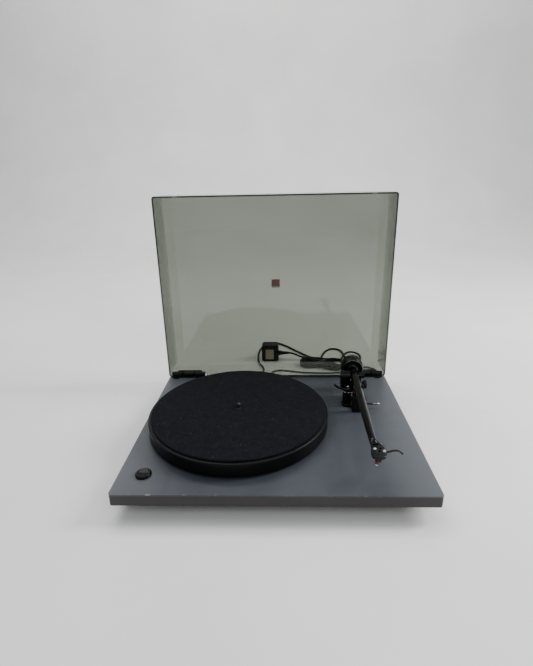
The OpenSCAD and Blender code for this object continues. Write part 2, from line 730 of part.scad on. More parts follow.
weight_r = weight_dia / 2;
module counterweight() color([0.06, 0.06, 0.065])
    in_arm(arm_z) difference() {
        union() {
            rod_x(weight_r - 1, -47, -25);
            rod_x(weight_r, -46, -30);
            rod_x(8, -25.2, -22);
        }
        rod_x(4.05, -48, -20);
        difference() {
            rod_x(weight_r - 3.5, -26, -24);
            rod_x(10.5, -27, -23);
        }
    }

// ---------- leads ----------
module round_lead(route, d) sweep(curve(route, 2), d / 2, d / 2);
module flat_lead(route) sweep(curve(route, 2), phono_w / 2, phono_t / 2);

module power_lead() color(black)
    on_deck() {
        round_lead(power_in, power_d);
        round_lead(power_loop, power_d);
        round_lead(power_out, power_d);
    }

// the power lead's spare length, folded into a tied hank
module power_lead_hank() color(black)
    on_deck() translate([hank_c[0], hank_c[1], floor_z]) rotate(hank_turn)
        linear_extrude(hank_h) round_rect(hank_len, hank_w, hank_w / 2 - 0.5);

module dc_plug() color(black)
    on_deck() translate([jack_x, 0, jack_z]) {
        rod_y(2.7, 165, 177);
        rod_y(5, 176.1, 198);
        translate([0, 198, 0]) rotate([-90, 0, 0]) cylinder(r1 = 4.2, r2 = 2.4, h = 16, $fn = 32);
    }

// a plug-top mains adaptor, standing on its lower edge with its pins to the rear
module power_adaptor() color(black)
    on_deck() translate([adaptor_x, adaptor_y, floor_z]) {
        translate([0, 14, 21]) rotate([90, 0, 0]) linear_extrude(28) round_rect(42, 42, 7);
        translate([0, 0, boot_z]) {
            rod_x(6, 20, 26);
            translate([26, 0, 0]) rotate([0, 90, 0]) cylinder(r1 = 5, r2 = 2.8, h = 22, $fn = 32);
        }
        for (s = [-1, 1]) translate([s * 9.5, 0, 24]) rod_y(2, 13, 33);
    }

module phono_lead() color(black)
    on_deck() {
        flat_lead(phono_out);
        flat_lead(phono_on);
        round_lead(tail_a, tail_d);
        round_lead(tail_b, tail_d);
    }

module phono_lead_coil() color(black)
    on_deck() translate([coil_x, coil_y, floor_z]) rotate_extrude($fn = 64)
        translate([coil_r - 6, 0]) square([12, 6.2]);

// the lead's splitter and its two phono plugs
module phono_plugs() color([0.5, 0.5, 0.52])
    on_deck() {
        translate([12.5, 247.2, floor_z]) rotate(-30) block([-6.5, -4, 0], [6.5, 4, 5.2]);
        for (end = [[72, 247], [64, 224]]) translate([end[0], end[1], floor_z + 5.1]) {
            rod_x(3, 0, 6);
            rod_x(4.9, 6, 27);
            rod_x(4.2, 27, 34);
            rod_x(1.6, 34, 43);
        }
    }

plinth_board();
foot_front_left();
foot_front_right();
foot_rear();
foot_screws();
main_bearing();
bearing_ball();
lock_nuts();
motor_body();
motor_bracket();
circuit_board();
dc_jack();
motor_cover();
underside_screws();
switch_body();
switch_bezel();
switch_cable();
hinge_base_left();
hinge_base_right();
hinge_pins();
hinge_screws();
arm_base();
arm_pillar();
arm_bearings();
lift_housing();
rest_pad();
bias_post();
signal_cable();
cable_clamp();
drive_belt();
sub_platter();
spindle_shaft();
platter();
felt_mat();
motor_shaft();
drive_pulley();
lid_shell();
lid_hinge_left();
lid_hinge_right();
lid_badge();
lid_bumpers();
arm_yoke();
pivot_screws();
arm_tube();
headshell();
cartridge_body();
stylus_assembly();
cartridge_screws();
counterweight();
lift_platform();
cue_lever();
rocker_button();
bias_dial();
power_lead();
power_lead_hank();
dc_plug();
power_adaptor();
phono_lead();
phono_lead_coil();
phono_plugs();
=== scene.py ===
import json
import math
import random
from collections import Counter

import bmesh
import bpy
from mathutils import Matrix, Vector, geometry, noise
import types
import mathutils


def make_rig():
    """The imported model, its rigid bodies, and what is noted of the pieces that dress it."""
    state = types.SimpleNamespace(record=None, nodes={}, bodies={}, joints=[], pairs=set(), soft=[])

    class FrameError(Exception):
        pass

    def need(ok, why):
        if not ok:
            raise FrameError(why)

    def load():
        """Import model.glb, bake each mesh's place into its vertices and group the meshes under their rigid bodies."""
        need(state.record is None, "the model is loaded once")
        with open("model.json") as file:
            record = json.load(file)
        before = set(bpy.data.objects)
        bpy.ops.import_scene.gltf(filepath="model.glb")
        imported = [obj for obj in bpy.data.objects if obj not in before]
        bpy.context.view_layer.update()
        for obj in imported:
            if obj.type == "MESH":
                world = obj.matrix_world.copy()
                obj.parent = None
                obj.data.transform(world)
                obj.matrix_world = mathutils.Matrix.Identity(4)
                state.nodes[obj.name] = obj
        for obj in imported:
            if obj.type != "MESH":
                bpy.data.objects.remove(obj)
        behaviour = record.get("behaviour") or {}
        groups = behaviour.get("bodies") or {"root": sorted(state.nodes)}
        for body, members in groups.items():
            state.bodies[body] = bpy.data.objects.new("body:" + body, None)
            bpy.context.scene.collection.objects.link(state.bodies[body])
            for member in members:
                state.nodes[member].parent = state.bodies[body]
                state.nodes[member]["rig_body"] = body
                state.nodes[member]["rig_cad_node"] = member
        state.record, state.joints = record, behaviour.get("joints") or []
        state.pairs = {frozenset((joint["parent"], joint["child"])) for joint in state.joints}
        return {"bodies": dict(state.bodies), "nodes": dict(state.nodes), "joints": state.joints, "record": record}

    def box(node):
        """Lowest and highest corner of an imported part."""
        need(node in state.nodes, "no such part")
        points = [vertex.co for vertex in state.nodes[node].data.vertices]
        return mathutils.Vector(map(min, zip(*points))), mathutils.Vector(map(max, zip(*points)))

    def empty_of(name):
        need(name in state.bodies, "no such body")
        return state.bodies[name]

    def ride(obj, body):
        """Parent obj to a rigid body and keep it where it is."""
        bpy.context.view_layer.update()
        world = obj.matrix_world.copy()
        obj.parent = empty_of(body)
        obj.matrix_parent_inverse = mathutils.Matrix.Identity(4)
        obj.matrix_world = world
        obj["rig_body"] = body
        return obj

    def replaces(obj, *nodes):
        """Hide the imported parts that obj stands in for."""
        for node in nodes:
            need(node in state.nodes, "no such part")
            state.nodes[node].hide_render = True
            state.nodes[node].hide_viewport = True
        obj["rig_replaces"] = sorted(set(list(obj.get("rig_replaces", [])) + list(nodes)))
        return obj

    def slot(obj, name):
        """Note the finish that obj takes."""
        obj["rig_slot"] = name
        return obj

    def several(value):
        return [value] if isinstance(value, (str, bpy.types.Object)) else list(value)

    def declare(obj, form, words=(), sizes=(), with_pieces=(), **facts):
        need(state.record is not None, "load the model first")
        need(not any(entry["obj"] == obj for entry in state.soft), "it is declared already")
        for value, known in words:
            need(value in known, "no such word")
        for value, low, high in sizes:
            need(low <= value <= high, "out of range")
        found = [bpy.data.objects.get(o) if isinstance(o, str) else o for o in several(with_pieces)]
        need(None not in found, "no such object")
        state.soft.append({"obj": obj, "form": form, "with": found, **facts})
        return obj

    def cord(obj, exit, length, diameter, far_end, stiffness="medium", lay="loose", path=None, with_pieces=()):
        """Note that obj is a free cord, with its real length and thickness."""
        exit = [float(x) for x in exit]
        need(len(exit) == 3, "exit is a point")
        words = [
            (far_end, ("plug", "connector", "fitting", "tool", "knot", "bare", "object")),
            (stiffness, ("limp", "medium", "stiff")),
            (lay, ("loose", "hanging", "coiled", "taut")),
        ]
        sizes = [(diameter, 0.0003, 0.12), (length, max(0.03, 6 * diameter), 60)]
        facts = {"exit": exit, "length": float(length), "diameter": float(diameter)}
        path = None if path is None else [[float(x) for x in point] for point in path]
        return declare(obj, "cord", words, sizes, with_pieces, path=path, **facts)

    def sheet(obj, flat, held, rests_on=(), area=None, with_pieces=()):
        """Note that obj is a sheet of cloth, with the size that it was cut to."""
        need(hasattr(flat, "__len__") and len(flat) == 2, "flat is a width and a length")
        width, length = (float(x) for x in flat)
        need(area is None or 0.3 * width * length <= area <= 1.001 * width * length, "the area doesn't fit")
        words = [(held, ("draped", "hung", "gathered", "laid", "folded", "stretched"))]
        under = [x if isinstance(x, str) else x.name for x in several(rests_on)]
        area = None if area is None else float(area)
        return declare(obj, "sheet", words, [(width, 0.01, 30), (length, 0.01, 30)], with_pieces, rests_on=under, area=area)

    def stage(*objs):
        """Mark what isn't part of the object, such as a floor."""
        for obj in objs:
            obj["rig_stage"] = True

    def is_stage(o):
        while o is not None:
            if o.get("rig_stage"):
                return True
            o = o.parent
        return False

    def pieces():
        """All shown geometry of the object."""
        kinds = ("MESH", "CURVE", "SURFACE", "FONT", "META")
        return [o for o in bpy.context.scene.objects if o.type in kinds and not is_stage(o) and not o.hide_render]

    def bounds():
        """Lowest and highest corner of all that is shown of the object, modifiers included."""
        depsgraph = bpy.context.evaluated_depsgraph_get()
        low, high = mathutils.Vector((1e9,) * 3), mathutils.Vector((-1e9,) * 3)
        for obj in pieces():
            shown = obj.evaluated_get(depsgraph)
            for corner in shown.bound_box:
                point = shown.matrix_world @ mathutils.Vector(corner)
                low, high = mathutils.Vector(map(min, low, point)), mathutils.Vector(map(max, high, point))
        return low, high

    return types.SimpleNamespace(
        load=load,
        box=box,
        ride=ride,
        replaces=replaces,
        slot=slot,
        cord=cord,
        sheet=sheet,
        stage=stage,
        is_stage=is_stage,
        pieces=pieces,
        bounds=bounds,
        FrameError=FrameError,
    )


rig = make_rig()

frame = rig.load()
cad_low, cad_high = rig.bounds()
nodes = frame["nodes"]
MM = 0.001

# ---------- places read from the frame, or measured in mm from them
plinth_low, plinth_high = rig.box("plinth_board")
DECK = Vector(((plinth_low.x + plinth_high.x) / 2, (plinth_low.y + plinth_high.y) / 2, plinth_high.z))
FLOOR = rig.box("foot_rear")[0].z


def deck(x, y, z=0.0):
    """A point in the deck's own frame, in millimetres from the middle of the plinth's top face."""
    return DECK + Vector((x, y, z)) * MM


joint = {j["name"]: j for j in frame["joints"]}
arm_back = Vector(joint["counterweight_slide"]["axis"])
ARM_ALONG = -arm_back
ARM_OUT = Vector((0, 0, 1)).cross(ARM_ALONG)
ARM_PIVOT = Vector(joint["arm_tilt"]["pos_m"])
CART_TURN = math.radians(23)
STYLUS_U, STYLUS_V = 237.0, 2.0
CARTRIDGE_PITCH = 12.7


def arm(u, v, w=0.0):
    """u mm along the arm tube from the pivot, v mm outwards and w mm up from the tilt axis."""
    return ARM_PIVOT + (ARM_ALONG * u + ARM_OUT * v + Vector((0, 0, w))) * MM


def cart_uv(x, y):
    """A point of the cartridge's plan, whose origin is over the stylus, as arm (u, v) in mm."""
    c, s = math.cos(CART_TURN), math.sin(CART_TURN)
    return STYLUS_U + x * c + y * s, STYLUS_V - x * s + y * c


def cart(x, y, w=0.0):
    """The same point in space, w mm up from the tilt axis."""
    return arm(*cart_uv(x, y), w)


# the lid stands 91 degrees open, so its panel leans 1 degree back; its rim is RIM_OFF mm from the hinge
LID_OPEN, LID_LEAN = math.radians(91), math.radians(1)
LID_UP = Vector((0, math.sin(LID_LEAN), math.cos(LID_LEAN)))
LID_OUT = Vector((0, math.cos(LID_LEAN), -math.sin(LID_LEAN)))
LID_HINGE = Vector(joint["lid_hinge"]["pos_m"])
RIM_OFF = -5.0


BODY = {node: body for body, held in frame["record"]["behaviour"]["bodies"].items() for node in held}
SLOT = {row["node"]: row["material_slot"] for row in frame["record"]["subparts"]}


# ---------- curves and meshes
def catmull(points, steps):
    """A smooth line through the points, with so many steps between neighbours."""
    pts = [Vector(p) for p in points]
    padded = [2 * pts[0] - pts[1], *pts, 2 * pts[-1] - pts[-2]]
    line = []
    for a, b, c, d in zip(padded, padded[1:], padded[2:], padded[3:]):
        for k in range(steps):
            t = k / steps
            line.append(0.5 * (2 * b + (c - a) * t + (2 * a - 5 * b + 4 * c - d) * t * t
                               + (3 * b - a - 3 * c + d) * t ** 3))
    return [*line, pts[-1]]


def add_object(name, data, body, slot_name=None, material=None):
    piece = bpy.data.objects.new(name, data)
    bpy.context.scene.collection.objects.link(piece)
    if material:
        piece.data.materials.append(material)
    if body:
        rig.ride(piece, body)
    if slot_name:
        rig.slot(piece, slot_name)
    return piece


def finish_mesh(mesh):
    """Turns the faces outwards and shades them smooth, except across sharp edges."""
    work = bmesh.new()
    work.from_mesh(mesh)
    bmesh.ops.recalc_face_normals(work, faces=work.faces)
    work.to_mesh(mesh)
    work.free()
    mesh.polygons.foreach_set("use_smooth", [True] * len(mesh.polygons))
    mesh.set_sharp_from_angle(angle=math.radians(40))
    return mesh


def mesh_object(name, verts, faces, body, slot_name=None, material=None):
    mesh = bpy.data.meshes.new(name)
    mesh.from_pydata([tuple(v) for v in verts], [], faces)
    mesh.validate()
    return add_object(name, finish_mesh(mesh), body, slot_name, material)


def round_cord(name, line, diameter, body, slot_name, material):
    """A round cord along a line of points, as one open spline."""
    curve = bpy.data.curves.new(name, "CURVE")
    curve.dimensions = "3D"
    spline = curve.splines.new("POLY")
    spline.points.add(len(line) - 1)
    for point, p in zip(spline.points, line):
        point.co = (p.x, p.y, p.z, 1)
    curve.bevel_depth = diameter / 2
    curve.bevel_resolution = 3
    curve.use_fill_caps = True
    spline.use_smooth = True
    return add_object(name, curve, body, slot_name, material)


def circle(n):
    """The cosine and sine of n even steps round a circle."""
    return [(math.cos(2 * math.pi * k / n), math.sin(2 * math.pi * k / n)) for k in range(n)]


def skin(count, total, start=0, joined=False):
    """Faces over rings of count points: capped at both ends, or with the last ring joined to the first."""
    faces = []
    for i in range(total if joined else total - 1):
        here, there = start + i * count, start + (i + 1) % total * count
        for k in range(count):
            m = (k + 1) % count
            faces.append((here + k, here + m, there + m, there + k))
    if not joined:
        faces.append(tuple(range(start + count - 1, start - 1, -1)))
        faces.append(tuple(range(start + (total - 1) * count, start + total * count)))
    return faces


def sweep(line, profile):
    """Vertices and faces of a profile of (side, up) points swept along a line, with +Z as up."""
    verts, last = [], len(line) - 1
    for i, p in enumerate(line):
        ahead = line[min(i + 1, last)] - line[max(i - 1, 0)]
        side = ahead.cross(Vector((0, 0, 1))).normalized()
        up = side.cross(ahead).normalized()
        verts += [p + side * a + up * b for a, b in profile]
    return verts, skin(len(profile), len(line))


def loft(name, rings, body, slot_name, material, joined=False):
    """A skin through rings of points, with flat ends, or with its last ring joined to its first."""
    verts = [p for ring in rings for p in ring]
    faces = skin(len(rings[0]), len(rings), joined=joined)
    return mesh_object(name, verts, faces, body, slot_name, material)


def turned(name, profile, body, slot_name, material, place, axis=(0, 0, 1), n=64, bored=False):
    """A turned shape from (radius, height) points in mm, on an axis through a place; bored is hollow."""
    turn = Vector((0, 0, 1)).rotation_difference(Vector(axis)).to_matrix()
    around = circle(n)
    rings = [[place + turn @ (Vector((r * c, r * s, z)) * MM) for c, s in around] for r, z in profile]
    return loft(name, rings, body, slot_name, material, bored)


def oval(w, d, r):
    """The points of a w by d mm rectangle with corners of radius r."""
    points, steps = [], 6
    for quarter, (sx, sy) in enumerate(((1, 1), (-1, 1), (-1, -1), (1, -1))):
        for k in range(steps + 1):
            a = math.pi / 2 * (quarter + k / steps)
            points.append((sx * (w / 2 - r) + r * math.cos(a), sy * (d / 2 - r) + r * math.sin(a)))
    return points


def disc_points(x, y, r):
    return [(x + r * c, y + r * s) for c, s in circle(28)]


def inside(point, ring):
    """Whether a point is inside a ring of points, by the edges crossed on the way out."""
    x, y = point
    crossed = False
    for (x0, y0), (x1, y1) in zip(ring, ring[1:] + ring[:1]):
        if (y0 > y) != (y1 > y) and x < x0 + (y - y0) / (y1 - y0) * (x1 - x0):
            crossed = not crossed
    return crossed


def plate(name, outline, holes, low, high, place, body, slot_name, material, edge=0.3):
    """A flat plate with holes, from outlines and two levels in mm, set in space by place(x, y, z)."""
    flat, sides = [], []
    for ring in [outline, *holes]:
        first = len(flat)
        flat += [Vector(p) for p in ring]
        sides += [(first + k, first + (k + 1) % len(ring)) for k in range(len(ring))]
    made, _, triangles, *_ = geometry.delaunay_2d_cdt(flat, sides, [], 0, 1e-4)
    kept = []
    for triangle in triangles:
        middle = sum((made[i] for i in triangle), Vector((0, 0))) / 3
        if inside(middle, outline) and not any(inside(middle, hole) for hole in holes):
            kept.append(tuple(triangle))
    count = len(made)
    verts = [place(p.x, p.y, z) for z in (low, high) for p in made]
    faces = [*kept, *(tuple(count + i for i in reversed(face)) for face in kept)]
    borders = [(a, b) for face in kept for a, b in zip(face, face[1:] + face[:1])]
    uses = Counter(frozenset(border) for border in borders)
    faces += [(b, a, count + a, count + b) for a, b in borders if uses[frozenset((a, b))] == 1]
    return soften(mesh_object(name, verts, faces, body, slot_name, material), edge)


def soften(piece, width, segments=2):
    """Rounds a piece's edges with a bevel, and lets its large faces keep their own shading."""
    bevel = piece.modifiers.new("soften", "BEVEL")
    bevel.width = width * MM
    bevel.segments = segments
    bevel.limit_method = "ANGLE"
    bevel.angle_limit = math.radians(35)
    piece.modifiers.new("shading", "WEIGHTED_NORMAL").keep_sharp = True
    return piece


def rounded(node, width, look=None, merged=True):
    """A copy of a CAD node with rounded edges, which stands for the node; merged joins flat faces."""
    mesh = nodes[node].data.copy()
    mesh.transform(nodes[node].matrix_world)
    work = bmesh.new()
    work.from_mesh(mesh)
    bmesh.ops.remove_doubles(work, verts=work.verts, dist=2e-6)
    if merged:
        bmesh.ops.dissolve_limit(work, angle_limit=math.radians(0.4), verts=work.verts, edges=work.edges)
    work.to_mesh(mesh)
    work.free()
    mesh.materials.clear()
    piece = add_object(node + "_finished", finish_mesh(mesh), BODY[node], SLOT[node], look or M[SLOT[node]])
    soften(piece, width)
    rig.replaces(piece, node)


# ---------- the camera, at the photograph's angle
SENSOR = 36.0


def look(place, yaw, pitch, roll, focal_px, tall_px):
    """Sets the camera by its place, angles in degrees (pitch is downwards) and focal length in pixels."""
    yaw, pitch, roll = (math.radians(a) for a in (yaw, pitch, roll))
    ahead = Vector((math.sin(yaw) * math.cos(pitch), math.cos(yaw) * math.cos(pitch), -math.sin(pitch)))
    right = Vector((math.cos(yaw), -math.sin(yaw), 0))
    up = right.cross(ahead)
    right_rolled = right * math.cos(roll) + up * math.sin(roll)
    up_rolled = up * math.cos(roll) - right * math.sin(roll)
    camera_data = bpy.data.cameras.new("camera")
    camera_data.sensor_fit = "VERTICAL"
    camera_data.sensor_height = SENSOR
    camera_data.lens = focal_px * SENSOR / tall_px
    camera_data.clip_start = 0.01
    camera = bpy.data.objects.new("camera", camera_data)
    bpy.context.scene.collection.objects.link(camera)
    turn = Matrix((right_rolled, up_rolled, -ahead)).transposed()
    camera.matrix_world = Matrix.Translation(place) @ turn.to_4x4()
    bpy.context.scene.camera = camera


look(deck(12.5, -644.7, 403.5), yaw=-2.17, pitch=20.47, roll=-1.22, focal_px=435.9, tall_px=666)


# ---------- materials
class Nodes:
    """A short way to build one material's node tree."""

    def __init__(self, name):
        self.material = bpy.data.materials.new(name)
        self.material.use_nodes = True
        self.tree = self.material.node_tree
        self.tree.nodes.clear()
        self.output = self.tree.nodes.new("ShaderNodeOutputMaterial")

    def add(self, kind, inputs=None, **settings):
        node = self.tree.nodes.new("ShaderNode" + kind)
        for key, value in settings.items():
            setattr(node, key, value)
        for key, value in (inputs or {}).items():
            self.put(node, key, value)
        return node

    def put(self, node, key, value):
        if isinstance(value, bpy.types.NodeSocket):
            self.tree.links.new(value, node.inputs[key])
        else:
            node.inputs[key].default_value = value

    def place(self, scale=(1, 1, 1)):
        at = self.add("TexCoord").outputs["Object"]
        return self.add("Mapping", {"Vector": at, "Scale": scale}).outputs["Vector"]

    def noise(self, scale, detail=4.0, rough=0.55, stretch=(1, 1, 1)):
        made = self.add("TexNoise", {"Vector": self.place(stretch), "Scale": scale, "Detail": detail,
                                     "Roughness": rough})
        return made.outputs["Fac"]

    def ramp(self, value, low, high, to_low=0.0, to_high=1.0):
        made = self.add("MapRange", {"Value": value, "From Min": low, "From Max": high, "To Min": to_low,
                                     "To Max": to_high})
        return made.outputs["Result"]

    def math(self, operation, a, b=0.0):
        return self.add("Math", {0: a, 1: b}, operation=operation).outputs[0]

    def times(self, a, b):
        return self.math("MULTIPLY", a, b)

    def mix(self, factor, a, b):
        return self.add("Mix", {0: factor, 6: a, 7: b}, data_type="RGBA").outputs[2]

    def bump(self, height, strength, distance):
        made = self.add("Bump", {"Height": height, "Strength": strength, "Distance": distance})
        return made.outputs["Normal"]

    def finish(self, shader):
        self.tree.links.new(shader, self.output.inputs["Surface"])
        return self.material


def rgb(r, g, b):
    """An sRGB colour from 0 to 255, as linear RGBA."""
    def lin(c):
        c /= 255
        return c / 12.92 if c <= 0.04045 else ((c + 0.055) / 1.055) ** 2.4
    return (lin(r), lin(g), lin(b), 1.0)


def plain(name, dark, light, rough, patch, grain, depth, metallic=0, spec=0.5, coat=0):
    """A moulded, painted or cast surface: two close tones, uneven gloss and a fine grain."""
    n = Nodes(name)
    fine = n.noise(grain, 3.0)
    tone = n.ramp(n.noise(patch, 5.0), 0.3, 0.7)
    shine = n.ramp(fine, 0.3, 0.7, rough[0], rough[1])
    shader = n.add("BsdfPrincipled", {
        "Base Color": n.mix(tone, rgb(*dark), rgb(*light)), "Roughness": shine, "Metallic": metallic,
        "Specular IOR Level": spec, "Coat Weight": coat, "Coat Roughness": 0.25,
        "Normal": n.bump(fine, depth * 10, 0.0002)})
    return n.finish(shader.outputs[0])


def turned_metal(name, dark, light, rough):
    """Metal turned on a lathe, with fine rings along its upright axis."""
    n = Nodes(name)
    rings = n.place((40.0, 40.0, 2200.0))
    lines = n.add("TexNoise", {"Vector": rings, "Scale": 1.0, "Detail": 3.0}).outputs["Fac"]
    shader = n.add("BsdfPrincipled", {
        "Base Color": n.mix(n.ramp(n.noise(180.0), 0.35, 0.65), rgb(*dark), rgb(*light)), "Metallic": 1.0,
        "Roughness": n.ramp(lines, 0.3, 0.7, rough[0], rough[1]),
        "Normal": n.bump(lines, 0.15, 0.0001)})
    return n.finish(shader.outputs[0])


def plinth_paint():
    """Satin grey paint on board: rolled texture, softer at the edges and scuffed paler along the front edge, painted
    light that makes it paler towards the left and right ends, painted shade on its faces below the top, and a chip at
    the front.
    """
    n = Nodes("plinth_paint")
    at = n.add("SeparateXYZ", {0: n.add("TexCoord").outputs["Object"]})
    x, y, z = at.outputs
    smear = n.noise(14.0, 4.0, 0.5, (1.0, 0.25, 1.0))
    body = n.mix(n.ramp(n.noise(7.0, 6.0, 0.6), 0.3, 0.7), rgb(49, 52, 59), rgb(60, 64, 71))
    body = n.mix(n.ramp(smear, 0.45, 0.75, 0.0, 0.35), body, rgb(74, 78, 84))
    # painted light: the board is paler towards its left and right ends, where the light falls more strongly
    painted_side_light = n.ramp(n.math("ABSOLUTE", x), 0.150, 0.2235)
    body = n.mix(n.times(painted_side_light, 0.5), body, rgb(96, 100, 103))
    from_top = n.math("SUBTRACT", DECK.z, z)
    edge = n.ramp(from_top, 0.0022, 0.0006)
    front = n.ramp(y, plinth_low.y + 0.003, plinth_low.y + 0.0005)
    # painted shade: every face more than 2.8 mm below the top is darkened to a brownish grey, standing in for the
    # shade that falls on the front and sides
    painted_side_shade = n.ramp(from_top, 0.0012, 0.0028)
    body = n.mix(n.times(painted_side_shade, 0.85), body, rgb(44, 38, 38))
    scuffs = n.ramp(n.noise(160.0, 6.0, 0.7), 0.56, 0.66)
    worn = n.times(n.times(edge, front), scuffs)
    body = n.mix(n.times(worn, 0.5), body, rgb(120, 120, 120))
    chip_x = DECK.x - 0.169
    chip = n.ramp(n.math("ABSOLUTE", n.math("SUBTRACT", x, chip_x)), 0.0034, 0.0026)
    jagged = n.ramp(n.noise(900.0, 3.0), 0.3, 0.4)
    lip = n.ramp(from_top, 0.0009, 0.0004)
    chip_front = n.ramp(y, plinth_low.y + 0.0013, plinth_low.y + 0.0006)
    chip = n.times(n.times(chip, lip), n.times(chip_front, jagged))
    body = n.mix(chip, body, rgb(138, 135, 129))
    gloss = n.ramp(n.noise(30.0, 5.0, 0.65), 0.3, 0.7, 0.36, 0.5)
    shader = n.add("BsdfPrincipled", {
        "Base Color": body, "Roughness": gloss, "Specular IOR Level": 0.32,
        "Normal": n.bump(n.noise(420.0, 3.0, 0.6), 0.12, 0.0003)})
    return n.finish(shader.outputs[0])


def smoked_acrylic():
    """Tinted clear sheet, darker at a grazing angle and on its cut rim, glossy and lightly dusty."""
    n = Nodes("lid_acrylic")
    facing = n.add("LayerWeight", {"Blend": 0.5}).outputs["Facing"]
    tint = n.mix(n.ramp(facing, 0.6, 0.9), rgb(182, 185, 178), rgb(142, 147, 140))
    rim_at = LID_OUT.dot(LID_HINGE) + RIM_OFF * MM
    at = n.add("TexCoord").outputs["Object"]
    depth = n.add("VectorMath", {0: at, 1: tuple(LID_OUT)}, operation="DOT_PRODUCT").outputs["Value"]
    rim = n.ramp(depth, rim_at + 0.0012, rim_at + 0.0006)
    clear = n.add("BsdfTransparent", {"Color": n.mix(rim, tint, rgb(70, 76, 72))})
    smear = n.noise(5.0, 5.0, 0.6, (1.0, 1.0, 0.4))
    gloss = n.add("BsdfAnisotropic", {"Color": (0.9, 0.9, 0.9, 1),
                                      "Roughness": n.ramp(smear, 0.35, 0.7, 0.03, 0.08)})
    dull = n.add("BsdfDiffuse", {"Color": rgb(150, 152, 146)})
    reflect = n.ramp(n.math("POWER", facing, 5.0), 0.0, 1.0, 0.04, 1.0)
    sheet = n.add("MixShader", {0: reflect, 1: clear.outputs[0], 2: gloss.outputs[0]})
    dust = n.ramp(smear, 0.4, 0.75, 0.01, 0.03)
    shader = n.add("MixShader", {0: dust, 1: sheet.outputs[0], 2: dull.outputs[0]})
    return n.finish(shader.outputs[0])


def felt():
    """Pressed felt: matted fibres in two directions, a soft sheen and pale flecks."""
    n = Nodes("felt")
    mat = n.noise(700.0, 5.0, 0.7)
    lumps = n.noise(90.0, 5.0, 0.65)
    strand = n.noise(420.0, 4.0, 0.6, (1.0, 0.3, 1.0))
    cross_strand = n.noise(420.0, 4.0, 0.6, (0.3, 1.0, 1.0))
    fibres = n.math("MAXIMUM", strand, cross_strand)
    body = n.mix(n.ramp(lumps, 0.3, 0.7), rgb(12, 13, 16), rgb(20, 21, 25))
    body = n.mix(n.ramp(fibres, 0.56, 0.72, 0.0, 0.5), body, rgb(33, 35, 41))
    flecks = n.ramp(n.noise(1500.0, 2.0), 0.72, 0.78)
    body = n.mix(n.times(flecks, 0.5), body, rgb(110, 110, 110))
    height = n.math("ADD", mat, n.times(fibres, 0.8))
    shader = n.add("BsdfPrincipled", {
        "Base Color": body, "Roughness": n.ramp(mat, 0.3, 0.7, 0.85, 1.0), "Specular IOR Level": 0.05,
        "Sheen Weight": 0.08, "Sheen Roughness": 0.45, "Sheen Tint": rgb(150, 154, 164),
        "Normal": n.bump(height, 0.55, 0.0006)})
    return n.finish(shader.outputs[0])


def paper_label():
    """Matt beige paper with fine fibres."""
    n = Nodes("label")
    fibre = n.noise(800.0, 4.0)
    shader = n.add("BsdfPrincipled", {
        "Base Color": n.mix(n.ramp(fibre, 0.3, 0.7), rgb(204, 194, 172), rgb(222, 213, 192)),
        "Roughness": n.ramp(fibre, 0.3, 0.7, 0.5, 0.65), "Normal": n.bump(fibre, 0.1, 0.0001)})
    return n.finish(shader.outputs[0])


M = {"plinth_paint": plinth_paint(), "lid_acrylic": smoked_acrylic(), "felt": felt(), "label": paper_label()}
# name, dark and light tones, roughness range
TURNED = (("steel", (112, 113, 116), (150, 151, 154), (0.3, 0.42)),
          ("dark_steel", (52, 53, 56), (74, 75, 78), (0.5, 0.6)),
          ("brass", (176, 142, 80), (204, 170, 104), (0.22, 0.36)))
